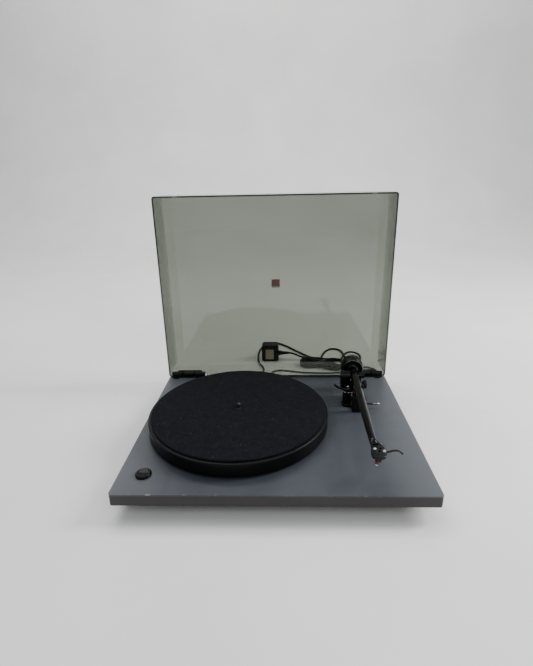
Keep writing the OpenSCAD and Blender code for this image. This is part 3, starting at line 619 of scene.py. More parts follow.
# name, dark and light tones, roughness range, patch and grain scales, grain depth, metallic, specular, coat
PLAIN = (("rubber", (15, 15, 16), (24, 24, 25), (0.6, 0.8), 80, 1200, 0.03, 0, 0.2),
         ("clear_pad", (84, 88, 84), (100, 104, 100), (0.3, 0.4), 200, 900, 0.01),
         ("cable", (7, 7, 8), (13, 13, 14), (0.38, 0.5), 40, 700, 0.015, 0, 0.25),
         ("black_plastic", (7, 7, 8), (13, 13, 14), (0.4, 0.52), 70, 1500, 0.03, 0, 0.25),
         ("platter_paint", (4, 4, 5), (8, 8, 9), (0.36, 0.46), 30, 600, 0.01, 0, 0.15),
         ("arm_black", (3, 3, 4), (7, 7, 8), (0.18, 0.25), 60, 1300, 0.004, 0, 0.2),
         ("gloss_black", (4, 4, 5), (9, 8, 9), (0.14, 0.22), 90, 900, 0.006, 0, 0.15),
         ("weight_black", (3, 3, 4), (7, 7, 8), (0.22, 0.3), 60, 900, 0.012, 0, 0.25),
         ("black_screws", (18, 18, 19), (30, 30, 31), (0.35, 0.45), 200, 900, 0.01, 0.8),
         ("bright", (205, 206, 208), (226, 226, 228), (0.1, 0.2), 150, 800, 0.004, 1),
         ("board", (20, 62, 36), (30, 78, 48), (0.3, 0.42), 120, 900, 0.01),
         ("badge", (108, 32, 25), (126, 44, 34), (0.3, 0.4), 220, 900, 0.008, 0, 0.5, 0.1),
         # the badge's back is a brighter copy of the badge red: painted light, as the back faces into the lid in shade
         ("badge_back", (158, 42, 30), (174, 54, 40), (0.4, 0.5), 220, 900, 0.008),
         ("red_rubber", (96, 16, 18), (120, 26, 26), (0.45, 0.6), 200, 900, 0.01),
         ("red_plastic", (62, 8, 10), (88, 16, 17), (0.2, 0.3), 300, 900, 0.006),
         ("white_plastic", (205, 203, 198), (226, 224, 219), (0.3, 0.4), 200, 900, 0.01),
         ("satin_ring", (120, 121, 124), (146, 147, 150), (0.2, 0.3), 150, 800, 0.004, 1),
         ("wire_blue", (20, 40, 110), (28, 52, 128), (0.4, 0.5), 300, 900, 0.01),
         ("wire_green", (18, 84, 40), (26, 100, 50), (0.4, 0.5), 300, 900, 0.01),
         ("lint", (70, 71, 75), (110, 111, 115), (0.8, 0.9), 900, 1500, 0.01, 0, 0.1),
         ("plug_metal", (188, 184, 172), (210, 207, 198), (0.16, 0.28), 150, 900, 0.006, 1))
M.update({row[0]: turned_metal(*row) for row in TURNED})
M.update({row[0]: plain(*row) for row in PLAIN})

# body, slot and material of pieces that share them
SHEATH = ("deck", "cable", M["cable"])
SLEEVE = ("deck", "cable", M["rubber"])
GRIP = ("deck", "black_plastic", M["rubber"])
CASE = ("deck", "black_plastic", M["black_plastic"])
CONTACT = ("deck", "plug_metal", M["plug_metal"])
ARM_CAST = ("tonearm", "arm_black", M["arm_black"])

for row in frame["record"]["subparts"]:
    node = nodes[row["node"]]
    material = M[row["material_slot"]]
    if node.material_slots:
        for place in node.material_slots:
            place.material = material
    else:
        node.data.materials.append(material)


# ---------- the cords
POWER_D = 4.8
PHONO_W, PHONO_T = 5.6, 2.8
floor_mm = (FLOOR - DECK.z) / MM
pz = floor_mm + POWER_D / 2 + 0.1
fz = floor_mm + PHONO_T / 2 + 0.1
JACK_X, JACK_Z, BOOT_Z, CLAMP_X = -40.0, -28.5, 17.2, 150.0
power_in = [(JACK_X, 214, JACK_Z), (JACK_X, 228, JACK_Z - 2), (-39, 246, pz + 3), (-35, 266, pz),
            (-31, 288, pz), (-33, 308, pz), (-42, 328, pz), (-47, 350, pz), (-48, 378, pz), (-46, 410, pz),
            (-38, 442, pz), (-20, 462, pz), (0, 463, pz), (20, 447, pz), (40, 421, pz), (60, 395, pz),
            (80, 367, pz + 1.5), (97, 344, pz + 5)]
power_loop = [(88, 338, pz), (98, 343, pz), (106, 352, pz), (111, 365, pz), (116, 383, pz), (123, 401, pz),
              (133, 416, pz), (147, 422, pz), (160, 415, pz), (167, 399, pz), (168, 379, pz), (172, 360, pz),
              (183, 347, pz), (198, 348, pz), (208, 361, pz), (207, 377, pz + 2), (196, 388, pz + 4),
              (182, 387, pz + 5), (171, 376, pz + 5.2), (164, 360, pz + 5), (157, 342, pz + 5)]
power_out = [(100, 333, floor_mm + 15.5), (88, 340.5, floor_mm + 12.6), (75, 347.5, floor_mm + 9.5),
             (63, 354, floor_mm + 8.4), (52, 359.4, floor_mm + 10.6), (41, 362, floor_mm + 15),
             (31, 362, floor_mm + BOOT_Z)]
phono_out = [(CLAMP_X, 184, -25), (CLAMP_X, 194, -27), (CLAMP_X, 206, fz + 6)]
phono_on = [(180, 249, fz + 2.9), (198, 250, fz + 2.2), (216, 258, fz + 0.5), (228, 272, fz),
            (232, 287, fz), (226, 301, fz), (212, 309, fz), (196, 305, fz), (182, 293, fz), (166, 284, fz),
            (140, 279, fz), (112, 277, fz), (84, 278, fz), (56, 282, fz), (30, 289, fz), (8, 293, fz),
            (-8, 287, fz), (-12, 272, fz), (-4, 258, fz), (8, 250, fz)]
tail_a = [(18, 246, fz), (30, 243, fz), (44, 244, fz), (58, 247, fz), (72, 247, pz + 2)]
tail_b = [(16, 243, fz), (25, 233, fz), (36, 226, fz), (50, 223, fz), (64, 224, pz + 2)]

# the hank: its own frame runs along it, across it and up from the floor
HANK_X, HANK_Y, HANK_TURN = 106.0, 316.0, math.radians(-14)
HANK_FOLD_U, HANK_FOLD_R, HANK_WAIST = 35.0, 17.0, 5.2
LAYERS = [2.5, 7.3, 12.1, 16.9]


def hank_point(u, v, z):
    """A point of the hank in the deck's frame, in mm."""
    c, s = math.cos(HANK_TURN), math.sin(HANK_TURN)
    return (HANK_X + u * c - v * s, HANK_Y + u * s + v * c, floor_mm + z)


def hank_run(way, side, z, start=-30.0, end=30.0, count=6):
    """One pass along the hank, heading +u or -u by way, on its +v or -v side, drawn in at the tie."""
    along = [way * (start + (end - start) * k / count) for k in range(count + 1)]
    narrow = [HANK_FOLD_R - (HANK_FOLD_R - HANK_WAIST) * math.exp(-(u / 18.0) ** 2) for u in along]
    return [hank_point(u, side * v, z) for u, v in zip(along, narrow)]


def hank_fold(end, sense, z0, z1):
    """The fold at the +u or -u end, clockwise with sense -1, rising from one layer to another."""
    points = []
    for degrees in (60, 30, 0, -30, -60):
        a = math.radians(degrees)
        risen = z0 + (z1 - z0) * (60 - degrees) / 120
        points.append(hank_point(end * (HANK_FOLD_U + HANK_FOLD_R * math.cos(a) - 2),
                                 -sense * end * HANK_FOLD_R * math.sin(a), risen))
    return points


def power_route():
    """The power lead: out of its plug, a first turn of the hank, a loop, three more layers, the adaptor."""
    one, two, three, four = LAYERS
    first = [hank_point(8, 14, one + 2.6), hank_point(19, 12.5, one), hank_point(30, 16.3, one),
             *hank_fold(1, -1, one, one), *hank_run(-1, -1, one), *hank_fold(-1, -1, one, one)]
    second = [*hank_run(-1, 1, two), *hank_fold(-1, 1, two, two), *hank_run(1, -1, two),
              *hank_fold(1, 1, two, three), *hank_run(-1, 1, three), *hank_fold(-1, 1, three, three),
              *hank_run(1, -1, three), *hank_fold(1, 1, three, four),
              *hank_run(-1, 1, four, -30.0, -10.0, 2)]
    return [deck(*p) for p in [*power_in, *first, *power_loop, *second, *power_out]]


COIL_X, COIL_Y, COIL_R, COIL_LANE, COIL_TURNS = 180.0, 219.0, 30.0, 3.0, 3.25


def ease(t, start, end):
    t = min(max((t - start) / (end - start), 0.0), 1.0)
    return t * t * (3 - 2 * t)


def coil_route():
    """The phono lead's spare turns: one outside, one inside it, and the rest laid on top."""
    points = []
    for k in range(int(COIL_TURNS * 16) + 1):
        t = k / 16
        lane = ease(t, 0.0, 0.25) - 2 * ease(t, 1.0, 1.3) + ease(t, 2.0, 2.3)
        lift = 2.9 * ease(t, 2.0, 2.3)
        a = math.pi - 2 * math.pi * t
        radius = COIL_R + COIL_LANE * lane
        points.append((COIL_X + radius * math.cos(a), COIL_Y + radius * math.sin(a), fz + lift))
    return points


def even(line, step):
    """The same line with its points a fixed step apart."""
    spaced, left = [line[0]], step
    for a, b in zip(line, line[1:]):
        length, at = (b - a).length, 0.0
        while length - at >= left:
            at += left
            left = step
            spaced.append(a.lerp(b, at / length))
        left -= length - at
    return [*spaced, line[-1]]


def relaxed(line, rounds=6):
    """A stiff lead straightens its small kinks: each point moves towards its neighbours."""
    for _ in range(rounds):
        eased = [(a + 2 * b + c) / 4 for a, b, c in zip(line[1:], line[2:], line[3:])]
        line = [line[0], line[1], *eased, line[-1]]
    return line


def twin_profile():
    """The section of a twin lead: two round sheaths joined by a web."""
    lobe, apart = PHONO_T / 2, (PHONO_W - PHONO_T) / 2
    points = []
    for side in (1, -1):
        for degrees in (-125, -90, -45, 0, 45, 90, 125):
            a = math.radians(degrees)
            points.append((side * (apart + lobe * math.cos(a)) * MM, side * lobe * math.sin(a) * MM))
    return points


power_line = relaxed(even(catmull(power_route(), 6), 3 * MM))
power_cord = round_cord("power_cord", power_line, POWER_D * MM, *SHEATH)
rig.replaces(power_cord, "power_lead", "power_lead_hank")

phono_line = relaxed(even(catmull([deck(*p) for p in [*phono_out, *coil_route(), *phono_on]], 4), 3 * MM), 3)
verts, faces = sweep(phono_line, twin_profile())
phono_cord = mesh_object("phono_cord", verts, faces, *SHEATH)
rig.replaces(phono_cord, "phono_lead", "phono_lead_coil")
tails = []
for name, route in (("phono_tail_a", tail_a), ("phono_tail_b", tail_b)):
    tail_line = catmull([deck(*p) for p in route], 6)
    tails.append(round_cord(name, tail_line, PHONO_T * MM, *SHEATH))


# ---------- plugs, adaptor and ties
def tie(name, centre, along, wide, high, width):
    """A strap round a bundle: a rounded loop, wide by high inside, about the direction along."""
    side = Vector((-along.y, along.x, 0))

    def place(x, y, z):
        return centre + (side * x + Vector((0, 0, y)) + along * z) * MM

    return plate(name, oval(wide + 1, high + 1, 2.2), [oval(wide, high, 1.8)], -width / 2, width / 2, place,
                 *SLEEVE, 0.12)


def ribs(r_low, r_high, start, end, count):
    """Points of a ribbed sleeve between two heights, its radius changing evenly."""
    points = []
    for k in range(count):
        for part, fall in ((0.0, 0.0), (0.55, 0.0), (0.6, 0.5), (0.95, 0.5)):
            t = (k + part) / count
            points.append((r_low + (r_high - r_low) * t - fall, start + (end - start) * t))
    return points


def adaptor():
    """The mains adaptor, standing on its face: two-part case, label, cord boot and pins."""
    low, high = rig.box("power_adaptor")
    front = (low.y - DECK.y) / MM
    x0 = (low.x - DECK.x) / MM
    wide, tall, deep = 42.0, 42.0, 28.0

    def upright(x, y, z):
        return deck(x0 + wide / 2 + x, front + z, floor_mm + tall / 2 + y)

    seam = deep * 0.62
    body = plate("adaptor_body", oval(wide - 0.2, tall - 0.2, 7), [], 0.1, seam, upright, *CASE, 1.8)
    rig.replaces(body, "power_adaptor")
    back = plate("adaptor_back", oval(wide - 0.9, tall - 0.9, 6.6), [], seam - 0.6, deep, upright, *CASE, 1.2)
    label = plate("adaptor_label", oval(20, 25, 0.8), [], -0.15, 0.3,
                  lambda x, y, z: upright(x - 1.5, y - 2.2, z), "deck", "black_plastic", M["label"], 0.05)
    boot = turned("adaptor_boot", [(4.8, 19.5), (6, 20.2), (6, 25.4), (5.4, 26), *ribs(5, 3, 26.2, 46, 6),
                                   (2.8, 47.6), (2.5, 48)], *GRIP,
                  deck(x0 + wide / 2, front + deep / 2, floor_mm + BOOT_Z), (1, 0, 0), 40)
    pins = []
    for k, side in enumerate((-1, 1)):
        pins.append(turned(f"adaptor_pin_{k + 1}", [(2, -2), (2, 17.4), (1.8, 18.4), (1, 19)], *CONTACT,
                           deck(x0 + wide / 2 + side * 9.5, front + deep, floor_mm + 24), (0, 1, 0), 24))
    return [body, back, label, boot, *pins]


def jack_plug():
    """The low-voltage plug: metal barrel, moulded grip with ribs and a tapered sleeve."""
    at = deck(JACK_X, 0, JACK_Z)
    grip = [(3.4, 176.4), (4.6, 176.6), (5, 177.2), *ribs(5, 5, 180, 192, 6), (5, 193), (4.9, 197),
            (4.3, 198.4), *ribs(4.1, 2.9, 199, 211, 5), (2.7, 212.5), (2.45, 214)]
    moulded = turned("dc_plug_grip", grip, *GRIP, at, (0, 1, 0), 40)
    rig.replaces(moulded, "dc_plug")
    barrel = turned("dc_plug_barrel", [(2.2, 165.2), (2.6, 165.8), (2.6, 176.6)], *CONTACT, at, (0, 1, 0), 32)
    return [moulded, barrel]


def phono_plug(name, x, y, ring_material):
    """One phono plug: sleeve, moulded grip with a coloured ring, metal shell and centre pin."""
    at = deck(x, y, floor_mm + 5.1)
    sleeved = [(1.5, 0.2), *ribs(2.3, 3, 0.6, 6, 3), (3.2, 6.2), (4.7, 6.6), (4.9, 7.4),
               *ribs(4.9, 4.9, 8, 16, 6), (4.9, 18)]
    cased = [(4.0, 20.6), (4.5, 20.8), (4.5, 26.6), (4.15, 27), (4.15, 33.6), (3.8, 34), (3.4, 33.6),
             (1.7, 33.4), (1.55, 34), (1.55, 42), (1.1, 42.9)]
    sleeve = turned(name + "_sleeve", sleeved, *SLEEVE, at, (1, 0, 0), 40)
    ring = turned(name + "_ring", [(4.0, 17.8), (4.85, 18), (4.85, 20.6), (4.0, 20.8)],
                  "deck", "black_plastic", ring_material, at, (1, 0, 0), 40)
    shell = turned(name + "_shell", cased, *CONTACT, at, (1, 0, 0), 40)
    return [sleeve, ring, shell]


def splitter():
    """The small block where the phono lead divides into its two tails."""
    turn = math.radians(-30)
    c, s = math.cos(turn), math.sin(turn)

    def place(x, y, z):
        return deck(12.5 + x * c - y * s, 247.2 + x * s + y * c, floor_mm + z)

    body = plate("phono_splitter", oval(13, 8, 2.6), [], 0.1, 5.2, place, *SLEEVE, 1.0)
    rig.replaces(body, "phono_plugs")
    return body


adaptor_pieces = adaptor()
jack_pieces = jack_plug()
hank_along = Vector((math.cos(HANK_TURN), math.sin(HANK_TURN), 0))
hank_tie = tie("hank_tie", deck(*hank_point(-1, 0, 7.95)), hank_along, 16.4, 14.6, 6.0)
tail_plugs = [phono_plug("phono_plug_a", 72, 247, M["red_plastic"]),
              phono_plug("phono_plug_b", 64, 224, M["white_plastic"])]
phono_pieces = [splitter()]
for k, degrees in enumerate((20, 250)):
    c, s = math.cos(math.radians(degrees)), math.sin(math.radians(degrees))
    tied_at = deck(COIL_X + COIL_R * c, COIL_Y + COIL_R * s, floor_mm + 3.6)
    phono_pieces.append(tie(f"coil_tie_{k + 1}", tied_at, Vector((-s, c, 0)), 12.4, 6.0, 3.0))
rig.cord(power_cord, exit=power_line[0], length=1.61, diameter=POWER_D * MM, far_end="plug",
        stiffness="medium", lay="loose", with_pieces=[*adaptor_pieces, *jack_pieces, hank_tie])
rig.cord(phono_cord, exit=phono_line[0], length=1.03, diameter=PHONO_W * MM, far_end="connector",
        stiffness="limp", lay="loose", path=phono_line, with_pieces=phono_pieces)
for tail, route, plug in zip(tails, (tail_a, tail_b), tail_plugs):
    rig.cord(tail, exit=deck(*route[0]), length=0.056, diameter=PHONO_T * MM, far_end="plug",
            stiffness="limp", lay="loose", with_pieces=plug)


# ---------- the felt mat
def felt_mat():
    """The mat as one pressed sheet: round edges and a surface that is nowhere quite flat."""
    low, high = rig.box("felt_mat")
    centre = Vector(((low.x + high.x) / 2, (low.y + high.y) / 2, low.z))
    thick, rim, hole = (high.z - low.z) / MM, 145.0, 4.6
    radii = [hole + 0.5 + (rim - 1.4 - hole) * (k / 44) for k in range(45)]
    profile = [(hole, 0.7), (hole, thick - 0.9), (hole + 0.15, thick - 0.35)]
    profile += [(r, thick - 0.1) for r in radii]
    profile += [(rim - 0.35, thick - 0.35), (rim, thick - 0.9), (rim, 0.8), (rim - 0.4, 0.05)]
    profile += [(r, 0.02) for r in reversed(radii[::4])]
    profile.append((hole + 0.3, 0.1))
    mat = turned("felt_mat_sheet", profile, "platter", "felt", M["felt"], centre, n=180, bored=True)
    for vert in mat.data.vertices:
        height = (vert.co.z - low.z) / MM
        if height > 0.6:
            swell = noise.noise(vert.co * 22) * 0.14 + noise.noise(vert.co * 90) * 0.06
            vert.co.z += min(swell, 0.09) * MM
    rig.replaces(mat, "felt_mat")
    return mat, centre, thick


mat, mat_centre, mat_thick = felt_mat()
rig.sheet(mat, flat=(0.29, 0.29), held="laid", rests_on=["platter"], area=math.pi * (0.145 ** 2 - 0.0046 ** 2))


def lint():
    """Short pale fibres and specks lying on the felt."""
    rng = random.Random(11)
    verts, faces = [], []
    for k in range(110):
        r, a = 142 * math.sqrt(rng.random()), rng.uniform(0, 2 * math.pi)
        if r < 8:
            continue
        long = rng.uniform(0.5, 1.2) if k % 3 else rng.uniform(1.5, 5.0)
        bend, turn = rng.uniform(-0.9, 0.9), rng.uniform(0, 2 * math.pi)
        start = mat_centre + Vector((r * math.cos(a), r * math.sin(a), mat_thick + 0.02)) * MM
        line = []
        for step in range(5):
            heading = turn + bend * step / 4
            line.append(start.copy())
            start = start + Vector((math.cos(heading), math.sin(heading), 0)) * long / 4 * MM
        thin = (0.09 if k % 3 == 0 else 0.16) * MM
        fibre, sides = sweep(line, [(-thin, 0), (0, thin), (thin, 0), (0, -thin)])
        faces += [tuple(i + len(verts) for i in face) for face in sides]
        verts += fibre
    mesh_object("mat_lint", verts, faces, "platter", "felt", M["lint"])


lint()


# ---------- tonearm
def arm_tube():
    """One tapered casting from the counterweight's stub to the headshell, where it flattens out."""
    stations = [(-62, 3.2, 3.2, 0), (-61.3, 4, 4, 0), (-17.1, 4, 4, 0), (-17, 5, 5, 0), (-16.6, 5.4, 5.4, 0),
                (-14.4, 5.4, 5.4, 0), (-14, 6.4, 6.4, 0), (-13.6, 7.2, 7.2, 0), (-12.8, 7.6, 7.6, 0),
                (20, 7.6, 7.6, 0)]
    stations += [(20 + 184 * t / 12, 7.6 - 2.3 * t / 12, 7.6 - 2.3 * t / 12, 0) for t in range(1, 13)]
    stations += [(207, 5.3, 5.1, 0), (209.5, 5.4, 4.5, 0.1), (211.5, 5.5, 3.6, 0.2), (213, 5.5, 2.6, 0.3),
                 (214, 5.2, 1.7, 0.4), (214.6, 4.2, 0.9, 0.5)]
    rings = [[arm(u, out + wide * c, high * s) for c, s in circle(48)] for u, wide, high, out in stations]
    tube = loft("arm_tube_casting", rings, *ARM_CAST)
    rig.replaces(tube, "arm_tube")


def headshell():
    """The plate under the cartridge screws, with its holes, and the curled finger lift."""
    hand = [(204, -5.0), (213, -4.8), (222, -5.0), (231, -6.5), (238, -7.2), (243.6, -6.2), (247.2, -3.2),
            (248.3, 1.2), (247.4, 6.4), (244.2, 10.6), (239, 13), (232, 13.7), (225.5, 13), (218, 10.6),
            (211, 7.4), (204, 5.0)]
    outline = [(p.x, p.y) for p in catmull([Vector((u, v, 0)) for u, v in hand], 4)]
    holes = [disc_points(*cart_uv(x, y), r) for x, y, r in ((-12, 0, 1.5), (-5.3, 0.4, 1.6), (2, 0.6, 1.6))]
    holes.append([(217.6 + x, 2.0 + y) for x, y in oval(3.2, 8.4, 1.6)])
    shell = plate("headshell_plate", outline, holes, -1.9, 1.9, arm, *ARM_CAST, 0.7)
    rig.replaces(shell, "headshell")
    lift = [(232.4, 11, 0), (232.4, 14, 0.1), (232.2, 17.5, 0.8), (231.9, 21.5, 2.0), (231.8, 26, 2.6),
            (232, 30, 2.2), (232.8, 33, 0.7), (233.8, 35, -1.4)]
    line = catmull([arm(*p) for p in lift], 5)
    verts, faces = sweep(line, [(1.7 * c * MM, 1.1 * s * MM) for c, s in circle(16)])
    mesh_object("finger_lift", verts, faces, *ARM_CAST)


def cartridge_screws():
    """Two cap screws with dished heads, at the usual pitch, and their nuts under the cartridge's flange."""
    screw = [(1.25, -5.9), (1.25, 1.8), (2.4, 1.9), (2.4, 2.9), (2.1, 3.3), (1.3, 3.4), (1.2, 2.5),
             (0.3, 2.3)]
    nut = [(2.0, -5.9), (2.3, -5.6), (2.3, -4.2), (2.0, -3.9)]
    verts, faces = [], []
    for side in (-CARTRIDGE_PITCH / 2, CARTRIDGE_PITCH / 2):
        centre = cart(-6.3, side)
        for profile, n in ((screw, 24), (nut, 6)):
            faces += skin(n, len(profile), len(verts))
            verts += [centre + Vector((r * c, r * s, z)) * MM for r, z in profile for c, s in circle(n)]
    screws = mesh_object("cap_screws", verts, faces, "tonearm", SLOT["cartridge_screws"], M["bright"])
    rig.replaces(screws, "cartridge_screws")


def stylus():
    """The stylus holder's wedge, its fine cantilever and the tip."""
    hand = [(-2, -5.2), (-2, -14.6), (1.4, -15.2), (6.2, -12.8), (6.8, -9.0), (3.6, -5.2)]

    def place(x, y, z):
        return cart(x, z, y)

    slot = ("tonearm", "red_plastic")
    holder = plate("stylus_holder", hand, [], -2.2, 2.2, place, *slot, M["red_plastic"], 0.5)
    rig.replaces(holder, "stylus_assembly")
    guard = [(1.2, -13.4), (1.2, -16.4), (5.4, -14.6), (5.9, -12.6)]
    plate("stylus_guard", guard, [], -1.5, 1.5, place, *slot, M["white_plastic"], 0.3)
    start, tip = cart(1.6, 0, -15.0), cart(0.4, 0, -18.1)
    turned("cantilever", [(0.35, 0), (0.3, (tip - start).length / MM)], "tonearm", "steel", M["bright"],
           start, (tip - start).normalized(), 12)


def cartridge_wires():
    """Four fine wires from the tube's mouth to the cartridge's pins."""
    colours = {"white": M["white_plastic"], "red": M["red_rubber"], "blue": M["wire_blue"],
               "green": M["wire_green"]}
    for (colour, material), b in zip(colours.items(), (-3, -1, 1, 3)):
        line = [cart(-30, b * 0.4, -2.6), cart(-31, b * 0.8, -5), cart(-30.5, b, -7), cart(-28.4, b, -7)]
        round_cord(f"cartridge_wire_{colour}", catmull(line, 5), 0.5 * MM, "tonearm", "cable", material)


def counterweight():
    """A stepped weight with a dished face, a polished bead round the dish and fine grooves behind."""
    grooves = []
    for k in range(5):
        at = -44.6 + k * 1.1
        grooves += [(21, at), (20.7, at + 0.25), (20.7, at + 0.6), (21, at + 0.85)]
    profile = [(4.1, -47), (19.2, -47), (20, -46.2), (20.3, -45.8), (21, -45.2), *grooves, (21, -31),
               (20.4, -30.1), (20, -29.5), (20, -26.2), (19.4, -25.3), (17.6, -25.1), (17.3, -25.6),
               (17.1, -27.2), (11, -27.2), (10.5, -26), (8.8, -25.4), (8, -24.8), (8, -22.6), (7.4, -22),
               (4.1, -22)]
    weight = turned("counterweight_body", profile, "counterweight", "weight_black", M["weight_black"],
                    ARM_PIVOT, ARM_ALONG, 96, bored=True)
    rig.replaces(weight, "counterweight")
    bead = [(19.1, -25.5), (18.9, -24.95), (18.3, -24.8), (17.6, -25), (17.3, -25.5)]
    turned("counterweight_bead", bead, "counterweight", "weight_black", M["satin_ring"], ARM_PIVOT,
           ARM_ALONG, 96, bored=True)


def lift_parts():
    """The cueing lift's cylinder, its collar and cap screw, and the lever with its bright end."""
    low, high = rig.box("lift_housing")
    at = Vector(((low.x + high.x) / 2, (low.y + high.y) / 2, DECK.z))
    body = turned("lift_cylinder", [(8.6, 5), (9, 5.4), (9, 22), (8.7, 22.3), (8.7, 22.9), (9, 23.2), (9, 27),
                                    (8.4, 27.8), (6.8, 28.4), (6.5, 28.8), (6.5, 29.6), (6.1, 30), (2.6, 30)],
                  "deck", "black_plastic", M["arm_black"], at, n=72)
    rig.replaces(body, "lift_housing")
    collar = [(8.3, 27.3), (8.8, 27.5), (8.8, 28.2), (8.2, 28.5), (7.4, 28.5), (7.4, 27.6)]
    turned("lift_collar", collar, "deck", "steel", M["bright"], at, n=72, bored=True)
    turned("lift_cap_screw", [(1.8, 36.2), (1.8, 36.9), (1.4, 37.2), (0.6, 37.2), (0.4, 36.9)], "lift_arm",
           "steel", M["bright"], at, n=32)
    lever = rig.box("cue_lever")
    end_x = (lever[1].x - DECK.x) / MM
    cam_y, cam_z, reach = 63.6, 9.0, 18.0
    bend = [(124, cam_y, cam_z), (140, cam_y, cam_z), (152, cam_y, cam_z), (156, cam_y - 0.9, cam_z),
            (157, cam_y - 3.5, cam_z), (157, cam_y - 9, cam_z), (157, cam_y - reach + 3.5, cam_z),
            (158, cam_y - reach + 0.9, cam_z), (161, cam_y - reach, cam_z), (168, cam_y - reach, cam_z),
            (174, cam_y - reach, cam_z)]
    section = [(1.45 * c * MM, 1.45 * s * MM) for c, s in circle(12)]
    verts, faces = sweep(catmull([deck(*p) for p in bend], 5), section)
    rod = mesh_object("cue_rod", verts, faces, "cue_arm", "steel", M["black_screws"])
    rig.replaces(rod, "cue_lever")
    at_end = deck(0, cam_y - reach, cam_z)
    turned("cue_sleeve", [(1.4, 173), (1.9, 173.4), *ribs(2, 2, 174, end_x - 4, 5), (1.7, end_x - 3.6)],
           "cue_arm", "steel", M["satin_ring"], at_end, (1, 0, 0), 32)
    tip = [(r, end_x - back) for r, back in ((1.3, 3.8), (1.9, 3), (2, 2), (1.8, 1), (1.2, 0.3), (0.3, 0))]
    turned("cue_tip", tip, "cue_arm", "steel", M["bright"], at_end, (1, 0, 0), 32)


arm_tube()
headshell()
cartridge_screws()
stylus()
cartridge_wires()
counterweight()
lift_parts()


# ---------- deck details
def foot(name, x, y):
    """A moulded rubber foot, flared towards the plinth, with two grooves and a recess for its screw."""
    profile = [(2.3, 3.6), (5, 3.4), (5, 0.4), (5.4, 0), (14.4, 0), (15.2, 0.5), (15.6, 1.4), (16.3, 6),
               (15.9, 6.6), (15.9, 7.6), (16.6, 8.2), (17.2, 13), (16.8, 13.6), (16.8, 14.6), (17.5, 15.2),
               (18.7, 24.4), (18.4, 25), (2.3, 25)]
    piece = turned(name + "_moulding", profile, "deck", "rubber", M["rubber"], deck(x, y, floor_mm), n=72,
                   bored=True)
    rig.replaces(piece, name)


for name, x, y in (("foot_front_left", -150, -130), ("foot_front_right", 150, -130), ("foot_rear", 20, 146)):
    foot(name, x, y)

# nodes whose own shape shows, by the width in mm of their rounded edges
SOFT_EDGES = {1.3: "arm_yoke", 1.0: "plinth_board", 0.7: "platter rocker_button",
              0.6: "switch_bezel arm_base cable_clamp motor_cover",
              0.5: "hinge_base_left hinge_base_right lid_hinge_left lid_hinge_right sub_platter lid_bumpers",
              0.4: "bias_post lift_platform cartridge_body lock_nuts switch_body",
              0.3: "rest_pad bias_dial foot_screws motor_bracket dc_jack", 0.25: "spindle_shaft",
              0.2: "hinge_pins drive_belt hinge_screws underside_screws drive_pulley"}
# and those that look different from their material slot
OTHER_LOOK = {"switch_bezel": M["arm_black"], "rocker_button": M["gloss_black"],
              "hinge_pins": M["black_screws"], "spindle_shaft": M["dark_steel"]}
for width, named in SOFT_EDGES.items():
    for node in named.split():
        rounded(node, width, OTHER_LOOK.get(node), merged=node != "plinth_board")


LID_W, LID_D, LID_H, LID_WALL = 447.0, 360.0, 71.0, 3.0
LID_REAR = 5.0
NOTCH_IN, NOTCH_HIGH = 146.5, 14.0


def lid(x, y, z):
    """A point given as if the lid were shut: from the middle of its plan and up from its rim, in mm."""
    back, up = y + LID_REAR - LID_D / 2, z + RIM_OFF
    c, s = math.cos(LID_OPEN), math.sin(LID_OPEN)
    return LID_HINGE + Vector((x, back * c + up * s, up * c - back * s)) * MM


def lid_shell():
    """The lid as one moulded sheet: walls round a panel, with a notch in the rear wall for each hinge."""
    outer, inner = oval(LID_W, LID_D, 5), oval(LID_W - 2 * LID_WALL, LID_D - 2 * LID_WALL, 3)
    corner = len(outer) // 4
    for ring, back in ((outer, LID_D / 2), (inner, LID_D / 2 - LID_WALL)):
        ring[corner:corner] = [(NOTCH_IN, back), (-NOTCH_IN, back)]
    cut = (corner - 1, corner + 1)
    count = len(outer)
    work = bmesh.new()

    def row(ring, z):
        return [work.verts.new(lid(x, y, z)) for x, y in ring]

    walls = []
    for ring, top in ((outer, LID_H), (inner, LID_H - LID_WALL)):
        walls.append([row(ring, 0), row(ring, NOTCH_HIGH), row(ring, top)])
        work.faces.new(walls[-1][2])
    for k in range(count):
        m = (k + 1) % count
        for wall in walls:
            work.faces.new((wall[1][k], wall[1][m], wall[2][m], wall[2][k]))
            if k not in cut:
                work.faces.new((wall[0][k], wall[0][m], wall[1][m], wall[1][k]))
        edge = 1 if k in cut else 0
        work.faces.new((walls[0][edge][k], walls[0][edge][m], walls[1][edge][m], walls[1][edge][k]))
        if (k in cut) != (m in cut):
            work.faces.new((walls[0][0][m], walls[0][1][m], walls[1][1][m], walls[1][0][m]))
    for vert in [v for v in work.verts if not v.link_faces]:
        work.verts.remove(vert)
    mesh = bpy.data.meshes.new("lid_moulding")
    work.to_mesh(mesh)
    work.free()
    moulding = add_object("lid_moulding", finish_mesh(mesh), "lid", "lid_acrylic", M["lid_acrylic"])
    soften(moulding, 0.5, 3)
    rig.replaces(moulding, "lid_shell")


lid_shell()


